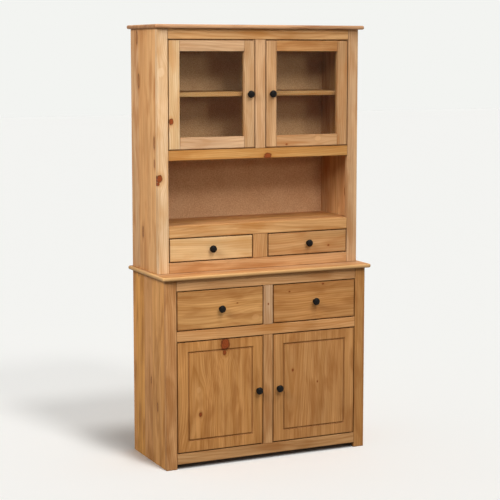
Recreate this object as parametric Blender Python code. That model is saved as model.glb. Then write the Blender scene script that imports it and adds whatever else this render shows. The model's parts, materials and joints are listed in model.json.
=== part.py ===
"""Two-part pine highboard: a base cabinet with drawers over doors, and a glazed hutch on top.

Units are metres and +Z is up. Every piece is drawn in cabinet coordinates: X runs to the right,
Y = 0 is the front plane of the base cabinet with +Y to the back, and Z = 0 is the floor. The empty
"highboard" then moves the whole cabinet so that the origin is under the middle of its box.
"""
import math

import bmesh
import bpy
from mathutils import Vector

# Carcass in plan
CARCASS_WIDTH = 0.862
BASE_DEPTH = 0.350
HUTCH_DEPTH = 0.278
SIDE_T = 0.018
FRONT_T = 0.020
BACK_T = 0.004
BACK_REBATE_W = 0.009

# Base cabinet, from the floor up
PLINTH_CLEARANCE = 0.019
BASE_BOTTOM_RAIL_H = 0.041
BASE_DOOR_OPENING_H = 0.438
BASE_MIDDLE_RAIL_H = 0.040
BASE_DRAWER_OPENING_H = 0.156
BASE_TOP_RAIL_H = 0.043
BASE_TOP_T = 0.015
BASE_STILE_W = 0.044
BASE_MULLION_W = 0.040
BASE_TOP_SIDE_OVERHANG = 0.019
BASE_TOP_FRONT_OVERHANG = 0.020

# Hutch, from the base top up
HUTCH_BOTTOM_RAIL_H = 0.041
HUTCH_DRAWER_OPENING_H = 0.095
NICHE_RAIL_H = 0.044
NICHE_H = 0.253
HUTCH_MIDDLE_RAIL_H = 0.039
HUTCH_DOOR_OPENING_H = 0.421
HUTCH_TOP_RAIL_H = 0.040
CORNICE_T = 0.015
HUTCH_STILE_W = 0.044
HUTCH_DOOR_MULLION_W = 0.043
HUTCH_DRAWER_MULLION_W = 0.063
CORNICE_SIDE_OVERHANG = 0.016
CORNICE_FRONT_OVERHANG = 0.026

# Boards inside
INNER_BOARD_T = 0.016
DISPLAY_SHELF_T = 0.017
HOUSING_DEPTH = 0.006
BASE_SHELF_RISE = 0.212
BASE_SHELF_SETBACK = 0.040
DISPLAY_SHELF_RISE = 0.202
DISPLAY_SHELF_SETBACK = 0.014

# Fits
SEAT_GAP = 0.0003
FRONT_GAP = 0.004
PANE_PLAY = 0.001

# How far one shape runs into another where the two are glued into one piece
GLUE_OVERLAP = 0.001

# Distances under which two points count as one
SAME_POINT = 0.00001
ON_AXIS = 0.000001

# Edges
FRAME_ARRIS = 0.001
FRONT_ARRIS = 0.0018
TOP_NOSE_R = 0.0065
NOSE_SEGMENTS = 4

# Base doors: a solid board with a round-bottomed groove near its edge
GROOVE_W = 0.0075
GROOVE_DEPTH = 0.004
GROOVE_SEGMENTS = 4
GROOVE_SIDE_MARGIN = 0.0415
GROOVE_TOP_MARGIN = 0.0365
GROOVE_BOTTOM_MARGIN = 0.042

# Glazed doors
SASH_STILE_W = 0.044
SASH_TOP_RAIL_H = 0.042
SASH_BOTTOM_RAIL_H = 0.044
PANE_T = 0.003
PANE_GROOVE_W = 0.008
PANE_SET_BACK = 0.010

# Drawers
DRAWER_SIDE_PLAY = 0.006
DRAWER_TOP_PLAY = 0.018
DRAWER_WALL_T = 0.012
DRAWER_BOTTOM_T = 0.004
DRAWER_BOTTOM_RISE = 0.010
DRAWER_GROOVE_DEPTH = 0.006
DRAWER_BACK_DROP = 0.008
DRAWER_REAR_CLEARANCE = 0.0254

# Drawer runners
RUNNER_T = 0.018
RUNNER_LIP = 0.004
RUNNER_REAR_RAIL_W = 0.036
GUIDE_H = 0.014
GUIDE_PLAY = 0.001

# Knobs
KNOB_R = 0.0145
KNOB_LENGTH = 0.025
KNOB_FOOT_R = 0.0085
KNOB_FOOT_H = 0.002
KNOB_NECK_R = 0.0065
KNOB_DOME_H = 0.0085
KNOB_UNDERSIDE_H = 0.0035
KNOB_STEPS = 28
KNOB_SHARP_ANGLE = math.radians(40)

# Concealed hinges
HINGE_END_DISTANCE = 0.075
CUP_R = 0.013
CUP_DEPTH = 0.0115
CUP_FLANGE_W = 0.003
CUP_FLANGE_T = 0.0012
CUP_EDGE_MARGIN = 0.004
CUP_STEPS = 24
HINGE_PLATE_T = 0.002
HINGE_PLATE_H = 0.046
HINGE_PLATE_MARGIN = 0.001
HINGE_ARM_W = 0.014
HINGE_ARM_T = 0.003
HINGE_ARM_RISE = 0.008

# Heights worked out from the sizes above
BASE_DOOR_Z0 = PLINTH_CLEARANCE + BASE_BOTTOM_RAIL_H
BASE_DOOR_Z1 = BASE_DOOR_Z0 + BASE_DOOR_OPENING_H
BASE_DRAWER_Z0 = BASE_DOOR_Z1 + BASE_MIDDLE_RAIL_H
BASE_DRAWER_Z1 = BASE_DRAWER_Z0 + BASE_DRAWER_OPENING_H
BASE_CARCASS_Z1 = BASE_DRAWER_Z1 + BASE_TOP_RAIL_H
HUTCH_Z0 = BASE_CARCASS_Z1 + BASE_TOP_T
HUTCH_DRAWER_Z0 = HUTCH_Z0 + HUTCH_BOTTOM_RAIL_H
HUTCH_DRAWER_Z1 = HUTCH_DRAWER_Z0 + HUTCH_DRAWER_OPENING_H
NICHE_Z0 = HUTCH_DRAWER_Z1 + NICHE_RAIL_H
NICHE_Z1 = NICHE_Z0 + NICHE_H
HUTCH_DOOR_Z0 = NICHE_Z1 + HUTCH_MIDDLE_RAIL_H
HUTCH_DOOR_Z1 = HUTCH_DOOR_Z0 + HUTCH_DOOR_OPENING_H
HUTCH_CARCASS_Z1 = HUTCH_DOOR_Z1 + HUTCH_TOP_RAIL_H
HIGHBOARD_Z1 = HUTCH_CARCASS_Z1 + CORNICE_T

# Planes worked out from the sizes above
HALF_WIDTH = CARCASS_WIDTH / 2
INNER_X = HALF_WIDTH - SIDE_T
BASE_FRONT_Y = 0.0
HUTCH_FRONT_Y = BASE_DEPTH - HUTCH_DEPTH
REAR_Y = BASE_DEPTH
BACK_Y1 = REAR_Y - SEAT_GAP
BACK_Y0 = BACK_Y1 - BACK_T
REBATE_Y = BACK_Y0 - SEAT_GAP
BOARD_REAR_Y = BACK_Y0 - SEAT_GAP
FRONT_REACH = max(KNOB_LENGTH + SEAT_GAP, BASE_TOP_FRONT_OVERHANG)
CENTRE_Y = (REAR_Y - FRONT_REACH) / 2

# The two sides of the cabinet, as seen from the front
SIDES = ((-1, "left"), (1, "right"))

# Finishes: sRGB colour, roughness, metallic, alpha
PALE_PINE = ((226, 190, 142), 0.50, 0.0, 1.0)
GOLDEN_PINE = ((214, 162, 98), 0.50, 0.0, 1.0)
TAN_PINE = ((198, 148, 92), 0.50, 0.0, 1.0)
BROWN_PINE = ((174, 122, 72), 0.52, 0.0, 1.0)
EDGE_PINE = ((150, 94, 50), 0.45, 0.0, 1.0)
BARE_PINE = ((222, 184, 132), 0.65, 0.0, 1.0)
HARDBOARD = ((150, 106, 70), 0.75, 0.0, 1.0)
BLACK_LACQUER = ((24, 24, 27), 0.32, 0.0, 1.0)
ZINC_STEEL = ((176, 178, 180), 0.35, 1.0, 1.0)
CLEAR_GLASS = ((226, 236, 232), 0.03, 0.0, 0.25)


def srgb_to_linear(value):
    """Turn one sRGB channel from 0-255 into a linear value."""
    channel = value / 255
    if channel <= 0.04045:
        return channel / 12.92
    return ((channel + 0.055) / 1.055) ** 2.4


def make_material(name, finish):
    """A Principled material of its own for one piece."""
    colour, roughness, metallic, alpha = finish
    material = bpy.data.materials.new(name + "_finish")
    material.use_nodes = True
    shader = material.node_tree.nodes["Principled BSDF"]
    linear = [srgb_to_linear(channel) for channel in colour]
    shader.inputs["Base Color"].default_value = (*linear, 1.0)
    shader.inputs["Roughness"].default_value = roughness
    shader.inputs["Metallic"].default_value = metallic
    shader.inputs["Alpha"].default_value = alpha
    material.diffuse_color = (*linear, alpha)
    return material


def make_empty(name, location, parent=None):
    """A frame that pieces hang on: the cabinet itself, or the axis of a door or drawer."""
    empty = bpy.data.objects.new(name, None)
    empty.location = location
    empty.parent = parent
    bpy.context.scene.collection.objects.link(empty)
    return empty


def add_box(shape, x, y, z, ease=0.0, along=None, segments=1):
    """Add a box between two corners; 'ease' rounds its edges, or only those that run 'along' an axis."""
    corners = bmesh.ops.create_cube(shape, size=1.0)["verts"]
    size = (x[1] - x[0], y[1] - y[0], z[1] - z[0])
    centre = ((x[0] + x[1]) / 2, (y[0] + y[1]) / 2, (z[0] + z[1]) / 2)
    bmesh.ops.scale(shape, vec=size, verts=corners)
    bmesh.ops.translate(shape, vec=centre, verts=corners)
    if ease <= 0:
        return
    edges = {edge for corner in corners for edge in corner.link_edges}
    if along is not None:
        edges = {edge for edge in edges if edge_axis(edge) == along}
    ordered = sorted(edges, key=lambda edge: edge_key(edge))
    bmesh.ops.bevel(shape, geom=ordered, offset=ease, segments=segments, profile=0.5,
                    affect="EDGES", clamp_overlap=True)


def edge_axis(edge):
    """The axis, 0 to 2, that an edge runs along."""
    run = edge.verts[1].co - edge.verts[0].co
    lengths = [abs(run.x), abs(run.y), abs(run.z)]
    return lengths.index(max(lengths))


def edge_key(edge):
    """The edge's middle, rounded, so that edges are always taken in the same order."""
    middle = (edge.verts[0].co + edge.verts[1].co) / 2
    return (round(middle.x, 6), round(middle.y, 6), round(middle.z, 6))


def add_loft(shape, loops):
    """Join rings of equal count in order and close both ends."""
    rings = [[shape.verts.new(point) for point in loop] for loop in loops]
    for ring, following in zip(rings, rings[1:]):
        for index in range(len(ring)):
            after = (index + 1) % len(ring)
            shape.faces.new((ring[index], ring[after], following[after], following[index]))
    shape.faces.new(rings[0])
    shape.faces.new(rings[-1])


def add_prism(shape, outline, axis, start, end):
    """Extrude a flat outline along an axis: (y, z) along X, (x, z) along Y, (x, y) along Z."""
    def point(pair, at):
        position = list(pair)
        position.insert(axis, at)
        return position
    add_loft(shape, [[point(pair, start) for pair in outline], [point(pair, end) for pair in outline]])


def add_turned(shape, profile, centre, steps, outward):
    """Turn a profile of (radius, distance) pairs about a line along Y; 'outward' is -1 or +1."""
    points = [(radius, outward * distance, 0.0) for radius, distance in profile]
    line = [shape.verts.new(Vector(centre) + Vector(point)) for point in points]
    edges = [shape.edges.new(pair) for pair in zip(line, line[1:])]
    bmesh.ops.spin(shape, geom=line + edges, cent=centre, axis=(0, 1, 0), angle=math.tau,
                   steps=steps, use_merge=True)
    on_axis = [vert for vert in shape.verts if is_on_axis(vert, centre)]
    bmesh.ops.remove_doubles(shape, verts=on_axis, dist=SAME_POINT)


def is_on_axis(vert, centre):
    """Whether a vertex lies on the turning line through 'centre'."""
    return math.hypot(vert.co.x - centre[0], vert.co.z - centre[2]) < ON_AXIS


def make_piece(name, shape, origin, finish, carrier, smooth_angle=None):
    """Turn a shape drawn in cabinet coordinates into an object with its origin at 'origin'."""
    bmesh.ops.recalc_face_normals(shape, faces=shape.faces)
    bmesh.ops.translate(shape, vec=-Vector(origin), verts=shape.verts)
    mesh = bpy.data.meshes.new(name)
    shape.to_mesh(mesh)
    shape.free()
    if smooth_angle is not None:
        mesh.shade_smooth()
        mesh.set_sharp_from_angle(angle=smooth_angle)
    mesh.materials.append(make_material(name, finish))
    piece = bpy.data.objects.new(name, mesh)
    piece.parent = carrier
    piece.location = Vector(origin) - carrier.location
    bpy.context.scene.collection.objects.link(piece)
    return piece


def make_board(name, x, y, z, finish, carrier, ease=0.0, along=None, segments=1):
    """One straight board as a piece with its origin at its middle."""
    shape = bmesh.new()
    add_box(shape, x, y, z, ease, along, segments)
    middle = ((x[0] + x[1]) / 2, (y[0] + y[1]) / 2, (z[0] + z[1]) / 2)
    return make_piece(name, shape, middle, finish, carrier)


def apply_shape(piece, name, shape, operation):
    """Cut a shape, drawn in cabinet coordinates, out of a piece, or join it on."""
    bmesh.ops.recalc_face_normals(shape, faces=shape.faces)
    mesh = bpy.data.meshes.new(name)
    shape.to_mesh(mesh)
    shape.free()
    tool = bpy.data.objects.new(name, mesh)
    tool.parent = piece.parent
    tool.location = -piece.parent.location
    tool.hide_render = True
    tool.display_type = "WIRE"
    bpy.context.scene.collection.objects.link(tool)
    boolean = piece.modifiers.new(name, "BOOLEAN")
    boolean.operation = operation
    boolean.solver = "EXACT"
    boolean.object = tool


def cut_box(piece, name, x, y, z):
    """Cut a box out of a piece."""
    shape = bmesh.new()
    add_box(shape, x, y, z)
    apply_shape(piece, name, shape, "DIFFERENCE")


def join_box(piece, name, x, y, z):
    """Join a box onto a piece."""
    shape = bmesh.new()
    add_box(shape, x, y, z)
    apply_shape(piece, name, shape, "UNION")


def mirrored(side, low, high):
    """An X range on the left (side -1) or right (side +1), given as distances from the middle."""
    return (low, high) if side > 0 else (-high, -low)


def make_side_panel(name, side, front_y, z, finish, carrier):
    """A side panel behind its stile, rebated along the rear inner edge for the back panel."""
    rebate_x = HALF_WIDTH - SIDE_T + BACK_REBATE_W
    outline = [
        (INNER_X, front_y + FRONT_T + SEAT_GAP),
        (HALF_WIDTH, front_y + FRONT_T + SEAT_GAP),
        (HALF_WIDTH, REAR_Y),
        (rebate_x, REAR_Y),
        (rebate_x, REBATE_Y),
        (INNER_X, REBATE_Y),
    ]
    shape = bmesh.new()
    add_prism(shape, [(side * x, y) for x, y in outline], 2, z[0], z[1])
    middle = (side * (INNER_X + HALF_WIDTH) / 2, (front_y + REAR_Y) / 2, (z[0] + z[1]) / 2)
    return make_piece(name, shape, middle, finish, carrier)


def house_board(name, sides, front_y, top_z, thickness, finish, carrier):
    """A board between the side panels, let into a housing in each of them."""
    reach = INNER_X + HOUSING_DEPTH
    z = (top_z - thickness, top_z)
    board = make_board(name, (-reach + SEAT_GAP, reach - SEAT_GAP), (front_y, BOARD_REAR_Y), z,
                       finish, carrier, FRAME_ARRIS, 0)
    for side, panel in sides.items():
        cut_box(panel, f"{panel.name}_housing_{name}", mirrored(side, INNER_X - SIDE_T, reach),
                (front_y - SEAT_GAP, REAR_Y + SIDE_T), (z[0] - SEAT_GAP, z[1] + SEAT_GAP))
    return board


def make_back_panel(name, z, carrier):
    """A thin back panel that lies in the rebates of the side panels."""
    reach = INNER_X + BACK_REBATE_W - SEAT_GAP
    return make_board(name, (-reach, reach), (BACK_Y0, BACK_Y1), z, HARDBOARD, carrier)


def make_nosed_top(name, half_width, y, z, carrier):
    """A top board whose front and side edges are rounded over above and below."""
    shape = bmesh.new()
    add_box(shape, (-half_width, half_width), y, z)
    nosed = []
    for edge in shape.edges:
        middle = (edge.verts[0].co + edge.verts[1].co) / 2
        at_rear = abs(middle.y - y[1]) < SAME_POINT
        if edge_axis(edge) != 2 and not at_rear:
            nosed.append(edge)
    nosed.sort(key=edge_key)
    bmesh.ops.bevel(shape, geom=nosed, offset=TOP_NOSE_R, segments=NOSE_SEGMENTS, profile=0.5,
                    affect="EDGES", clamp_overlap=True)
    middle = (0.0, (y[0] + y[1]) / 2, (z[0] + z[1]) / 2)
    return make_piece(name, shape, middle, EDGE_PINE, carrier)


def make_rail(name, half_length, front_y, z, finish, carrier):
    """A face-frame rail between the stiles."""
    return make_board(name, (-half_length, half_length), (front_y, front_y + FRONT_T), z,
                      finish, carrier, FRAME_ARRIS, 0)


def make_mullion(name, width, front_y, z, finish, carrier):
    """An upright between two rails, in the middle of the cabinet."""
    return make_board(name, (-width / 2, width / 2), (front_y, front_y + FRONT_T),
                      (z[0] + SEAT_GAP, z[1] - SEAT_GAP), finish, carrier, FRAME_ARRIS, 2)


def make_runner_frame(name, stile_w, mullion_w, front_y, top_z, carrier):
    """The glued frame behind a rail that a pair of drawers runs on, with guides beside the drawer sides."""
    front = front_y + FRONT_T + SEAT_GAP
    fork = BOARD_REAR_Y - RUNNER_REAR_RAIL_W
    wall_x = INNER_X - SEAT_GAP
    outer_box_x = HALF_WIDTH - stile_w - DRAWER_SIDE_PLAY
    inner_box_x = mullion_w / 2 + DRAWER_SIDE_PLAY
    run_in = DRAWER_WALL_T + RUNNER_LIP
    half = [
        (inner_box_x + run_in, front),
        (inner_box_x + run_in, fork),
        (outer_box_x - run_in, fork),
        (outer_box_x - run_in, front),
        (wall_x, front),
        (wall_x, BOARD_REAR_Y),
    ]
    other_half = [(-x, y) for x, y in reversed(half)]
    shape = bmesh.new()
    add_prism(shape, half + other_half, 2, top_z - RUNNER_T, top_z)
    frame = make_piece(name, shape, (0.0, (front + BOARD_REAR_Y) / 2, top_z), BARE_PINE, carrier)
    guide_y = (front + GLUE_OVERLAP, BOARD_REAR_Y - GLUE_OVERLAP)
    guide_z = (top_z - RUNNER_T / 2, top_z + GUIDE_H)
    side_guide = (outer_box_x + GUIDE_PLAY, wall_x - GLUE_OVERLAP)
    middle_guide = (GUIDE_PLAY - inner_box_x, inner_box_x - GUIDE_PLAY)
    join_box(frame, f"{name}_guide_left", mirrored(-1, *side_guide), guide_y, guide_z)
    join_box(frame, f"{name}_guide_right", mirrored(1, *side_guide), guide_y, guide_z)
    join_box(frame, f"{name}_guide_middle", middle_guide, guide_y, guide_z)


def knob_profile():
    """Foot, hollow neck and domed head as (radius, distance from the wood)."""
    head_middle = KNOB_LENGTH - KNOB_DOME_H
    head_start = head_middle - KNOB_UNDERSIDE_H
    profile = [(0.0, 0.0), (KNOB_FOOT_R, 0.0), (KNOB_FOOT_R, KNOB_FOOT_H)]
    neck_points = 4
    for index in range(1, neck_points + 1):
        share = index / neck_points
        flare = math.sin(math.pi * share / 2)
        radius = KNOB_FOOT_R + (KNOB_NECK_R - KNOB_FOOT_R) * flare
        profile.append((radius, KNOB_FOOT_H + (head_start - KNOB_FOOT_H) * share))
    underside_points = 3
    for index in range(1, underside_points + 1):
        turn = math.pi / 2 * index / underside_points
        radius = KNOB_NECK_R + (KNOB_R - KNOB_NECK_R) * math.sin(turn)
        profile.append((radius, head_middle - KNOB_UNDERSIDE_H * math.cos(turn)))
    dome_points = 6
    for index in range(1, dome_points):
        turn = math.pi / 2 * index / dome_points
        profile.append((KNOB_R * math.cos(turn), head_middle + KNOB_DOME_H * math.sin(turn)))
    profile.append((0.0, KNOB_LENGTH))
    return profile


def make_knob(name, x, front_y, z, carrier):
    """A turned knob that stands out from a front."""
    centre = (x, front_y - SEAT_GAP, z)
    shape = bmesh.new()
    add_turned(shape, knob_profile(), centre, KNOB_STEPS, -1)
    return make_piece(name, shape, centre, BLACK_LACQUER, carrier, KNOB_SHARP_ANGLE)


def make_drawer(name, side, mullion_w, stile_w, front_y, z, finish):
    """One drawer: a front, a glued box of two sides, a back and a bottom, and a knob."""
    opening = mirrored(side, mullion_w / 2, HALF_WIDTH - stile_w)
    middle_x = (opening[0] + opening[1]) / 2
    front_x = (opening[0] + FRONT_GAP, opening[1] - FRONT_GAP)
    front_z = (z[0] + FRONT_GAP, z[1] - FRONT_GAP)
    front_back_y = front_y + FRONT_T
    carrier = make_empty(f"{name}_slide", (middle_x, front_y, z[0]), HIGHBOARD)
    front = make_board(f"{name}_front", front_x, (front_y, front_back_y), front_z,
                       finish, carrier, FRONT_ARRIS)

    box_x = (opening[0] + DRAWER_SIDE_PLAY, opening[1] - DRAWER_SIDE_PLAY)
    box_y = (front_back_y + SEAT_GAP, BOARD_REAR_Y - DRAWER_REAR_CLEARANCE)
    box_z = (z[0] + SEAT_GAP, z[1] - DRAWER_TOP_PLAY)
    bottom_z = (box_z[0] + DRAWER_BOTTOM_RISE, box_z[0] + DRAWER_BOTTOM_RISE + DRAWER_BOTTOM_T)
    wall_x = shrink(box_x, DRAWER_WALL_T, DRAWER_WALL_T)
    outline = [
        (box_x[0], box_z[0]),
        (wall_x[0], box_z[0]),
        (wall_x[0], bottom_z[0]),
        (wall_x[1], bottom_z[0]),
        (wall_x[1], box_z[0]),
        (box_x[1], box_z[0]),
        (box_x[1], box_z[1]),
        (wall_x[1], box_z[1]),
        (wall_x[1], bottom_z[1]),
        (wall_x[0], bottom_z[1]),
        (wall_x[0], box_z[1]),
        (box_x[0], box_z[1]),
    ]
    shape = bmesh.new()
    add_prism(shape, outline, 1, box_y[0], box_y[1])
    box_middle = (middle_x, (box_y[0] + box_y[1]) / 2, (box_z[0] + box_z[1]) / 2)
    box = make_piece(f"{name}_box", shape, box_middle, BARE_PINE, carrier)
    join_box(box, f"{name}_back", shrink(wall_x, -GLUE_OVERLAP, -GLUE_OVERLAP),
             (box_y[1] - DRAWER_WALL_T, box_y[1] - GLUE_OVERLAP),
             (bottom_z[1] - GLUE_OVERLAP, box_z[1] - DRAWER_BACK_DROP))
    groove_y = front_back_y - DRAWER_GROOVE_DEPTH
    join_box(box, f"{name}_tongue", shrink(wall_x, GLUE_OVERLAP, GLUE_OVERLAP),
             (groove_y + SEAT_GAP, box_y[0] + DRAWER_WALL_T), bottom_z)
    cut_box(front, f"{name}_front_groove", wall_x, (groove_y, front_back_y + FRONT_T),
            shrink(bottom_z, -SEAT_GAP, -SEAT_GAP))
    make_knob(f"{name}_knob", middle_x, front_y, (front_z[0] + front_z[1]) / 2, carrier)


def hinge_heights(door_z):
    """The heights of a door's two hinges."""
    return (door_z[0] + HINGE_END_DISTANCE, door_z[1] - HINGE_END_DISTANCE)


def hinge_cup_x(side, stile_w):
    """The middle of the hinge cups, set in from the door's hinge edge."""
    edge = HALF_WIDTH - stile_w - FRONT_GAP
    return side * (edge - CUP_EDGE_MARGIN - CUP_R)


def set_hinge_cups(door, side, stile_w, front_y, door_z):
    """Set the hinge cups into the back of a door: a flange on the wood round an open recess."""
    back_y = front_y + FRONT_T
    cup_x = hinge_cup_x(side, stile_w)
    flange_r = CUP_R + CUP_FLANGE_W
    flange = [(0.0, -GLUE_OVERLAP), (flange_r, -GLUE_OVERLAP), (flange_r, CUP_FLANGE_T), (0.0, CUP_FLANGE_T)]
    recess = [(0.0, -CUP_DEPTH), (CUP_R, -CUP_DEPTH), (CUP_R, FRONT_T), (0.0, FRONT_T)]
    flanges = bmesh.new()
    recesses = bmesh.new()
    for z in hinge_heights(door_z):
        add_turned(flanges, flange, (cup_x, back_y, z), CUP_STEPS, 1)
        add_turned(recesses, recess, (cup_x, back_y, z), CUP_STEPS, 1)
    apply_shape(door, f"{door.name}_cup_flanges", flanges, "UNION")
    apply_shape(door, f"{door.name}_cup_recesses", recesses, "DIFFERENCE")


def make_hinge_arm(name, side, stile_w, front_y, z, carrier):
    """A mounting plate on the back of the stile; its cranked arm lies over the rim of the cup."""
    back_y = front_y + FRONT_T
    plate_x = (HALF_WIDTH - stile_w + HINGE_PLATE_MARGIN, INNER_X - HINGE_PLATE_MARGIN)
    plate_y = (back_y + SEAT_GAP, back_y + SEAT_GAP + HINGE_PLATE_T)
    shape = bmesh.new()
    add_box(shape, mirrored(side, *plate_x), plate_y, (z - HINGE_PLATE_H / 2, z + HINGE_PLATE_H / 2))
    middle = (side * sum(plate_x) / 2, sum(plate_y) / 2, z)
    hinge = make_piece(name, shape, middle, ZINC_STEEL, carrier)

    foot_x = shrink(plate_x, GLUE_OVERLAP, GLUE_OVERLAP)
    foot_y = plate_y[1] - HINGE_PLATE_T / 2
    top_y = plate_y[1] + HINGE_ARM_RISE
    tip_y = back_y + CUP_FLANGE_T + SEAT_GAP
    tip_x = abs(hinge_cup_x(side, stile_w))
    rim_x = tip_x + CUP_R + CUP_FLANGE_W
    outline = [
        (foot_x[1], foot_y),
        (foot_x[0], foot_y),
        (foot_x[0], top_y - HINGE_ARM_T),
        (rim_x, top_y - HINGE_ARM_T),
        (rim_x, tip_y),
        (tip_x, tip_y),
        (tip_x, tip_y + HINGE_ARM_T),
        (rim_x - HINGE_ARM_T, top_y),
        (foot_x[1], top_y),
    ]
    arm = bmesh.new()
    add_prism(arm, [(side * x, y) for x, y in outline], 2, z - HINGE_ARM_W / 2, z + HINGE_ARM_W / 2)
    apply_shape(hinge, f"{name}_strap", arm, "UNION")


def rectangle(x, y, z):
    """Four corners of an upright rectangle at depth y."""
    return [(x[0], y, z[0]), (x[1], y, z[0]), (x[1], y, z[1]), (x[0], y, z[1])]


def shrink(span, low, high):
    """A range drawn in at both ends."""
    return (span[0] + low, span[1] - high)


def make_base_door(name, side):
    """A solid door with a round-bottomed groove run round its front."""
    opening = mirrored(side, BASE_MULLION_W / 2, HALF_WIDTH - BASE_STILE_W)
    door_x = shrink(opening, FRONT_GAP, FRONT_GAP)
    door_z = (BASE_DOOR_Z0 + FRONT_GAP, BASE_DOOR_Z1 - FRONT_GAP)
    axis_x = side * (HALF_WIDTH - BASE_STILE_W - FRONT_GAP / 2)
    carrier = make_empty(f"{name}_hinge", (axis_x, BASE_FRONT_Y, door_z[0]), HIGHBOARD)

    back_y = BASE_FRONT_Y + FRONT_T
    eased_x = shrink(door_x, FRONT_ARRIS, FRONT_ARRIS)
    eased_z = shrink(door_z, FRONT_ARRIS, FRONT_ARRIS)
    loops = [
        rectangle(eased_x, back_y, eased_z),
        rectangle(door_x, back_y - FRONT_ARRIS, door_z),
        rectangle(door_x, BASE_FRONT_Y + FRONT_ARRIS, door_z),
        rectangle(eased_x, BASE_FRONT_Y, eased_z),
    ]
    for index in range(GROOVE_SEGMENTS + 1):
        turn = math.pi * index / GROOVE_SEGMENTS
        across = GROOVE_W * (1 - math.cos(turn)) / 2
        depth = GROOVE_DEPTH * math.sin(turn)
        loops.append(rectangle(
            shrink(door_x, GROOVE_SIDE_MARGIN + across, GROOVE_SIDE_MARGIN + across),
            BASE_FRONT_Y + depth,
            shrink(door_z, GROOVE_BOTTOM_MARGIN + across, GROOVE_TOP_MARGIN + across)))
    shape = bmesh.new()
    add_loft(shape, loops)
    middle = ((door_x[0] + door_x[1]) / 2, BASE_FRONT_Y + FRONT_T / 2, (door_z[0] + door_z[1]) / 2)
    door = make_piece(f"{name}_board", shape, middle, BROWN_PINE, carrier)
    set_hinge_cups(door, side, BASE_STILE_W, BASE_FRONT_Y, door_z)
    knob_x = side * (BASE_MULLION_W / 2 + FRONT_GAP + GROOVE_SIDE_MARGIN / 2)
    make_knob(f"{name}_knob", knob_x, BASE_FRONT_Y, middle[2], carrier)


def make_glazed_door(name, side):
    """A glued sash frame with a groove round its opening that holds the pane."""
    opening = mirrored(side, HUTCH_DOOR_MULLION_W / 2, HALF_WIDTH - HUTCH_STILE_W)
    door_x = shrink(opening, FRONT_GAP, FRONT_GAP)
    door_z = (HUTCH_DOOR_Z0 + FRONT_GAP, HUTCH_DOOR_Z1 - FRONT_GAP)
    axis_x = side * (HALF_WIDTH - HUTCH_STILE_W - FRONT_GAP / 2)
    carrier = make_empty(f"{name}_hinge", (axis_x, HUTCH_FRONT_Y, door_z[0]), HIGHBOARD)
    door_y = (HUTCH_FRONT_Y, HUTCH_FRONT_Y + FRONT_T)
    frame = make_board(f"{name}_frame", door_x, door_y, door_z, TAN_PINE, carrier, FRONT_ARRIS)

    sight_x = shrink(door_x, SASH_STILE_W, SASH_STILE_W)
    sight_z = shrink(door_z, SASH_BOTTOM_RAIL_H, SASH_TOP_RAIL_H)
    cut_box(frame, f"{name}_sight", sight_x, (door_y[0] - FRONT_T, door_y[1] + FRONT_T), sight_z)
    pane_y = (HUTCH_FRONT_Y + PANE_SET_BACK, HUTCH_FRONT_Y + PANE_SET_BACK + PANE_T)
    groove_x = shrink(sight_x, -PANE_GROOVE_W, -PANE_GROOVE_W)
    groove_z = shrink(sight_z, -PANE_GROOVE_W, -PANE_GROOVE_W)
    cut_box(frame, f"{name}_pane_groove", groove_x, shrink(pane_y, -SEAT_GAP, -SEAT_GAP), groove_z)
    set_hinge_cups(frame, side, HUTCH_STILE_W, HUTCH_FRONT_Y, door_z)
    make_board(f"{name}_pane", shrink(groove_x, PANE_PLAY, PANE_PLAY), pane_y,
               shrink(groove_z, PANE_PLAY, PANE_PLAY), CLEAR_GLASS, carrier)
    knob_x = side * (HUTCH_DOOR_MULLION_W / 2 + FRONT_GAP + SASH_STILE_W / 2)
    make_knob(f"{name}_knob", knob_x, HUTCH_FRONT_Y, sum(door_z) / 2, carrier)


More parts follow.
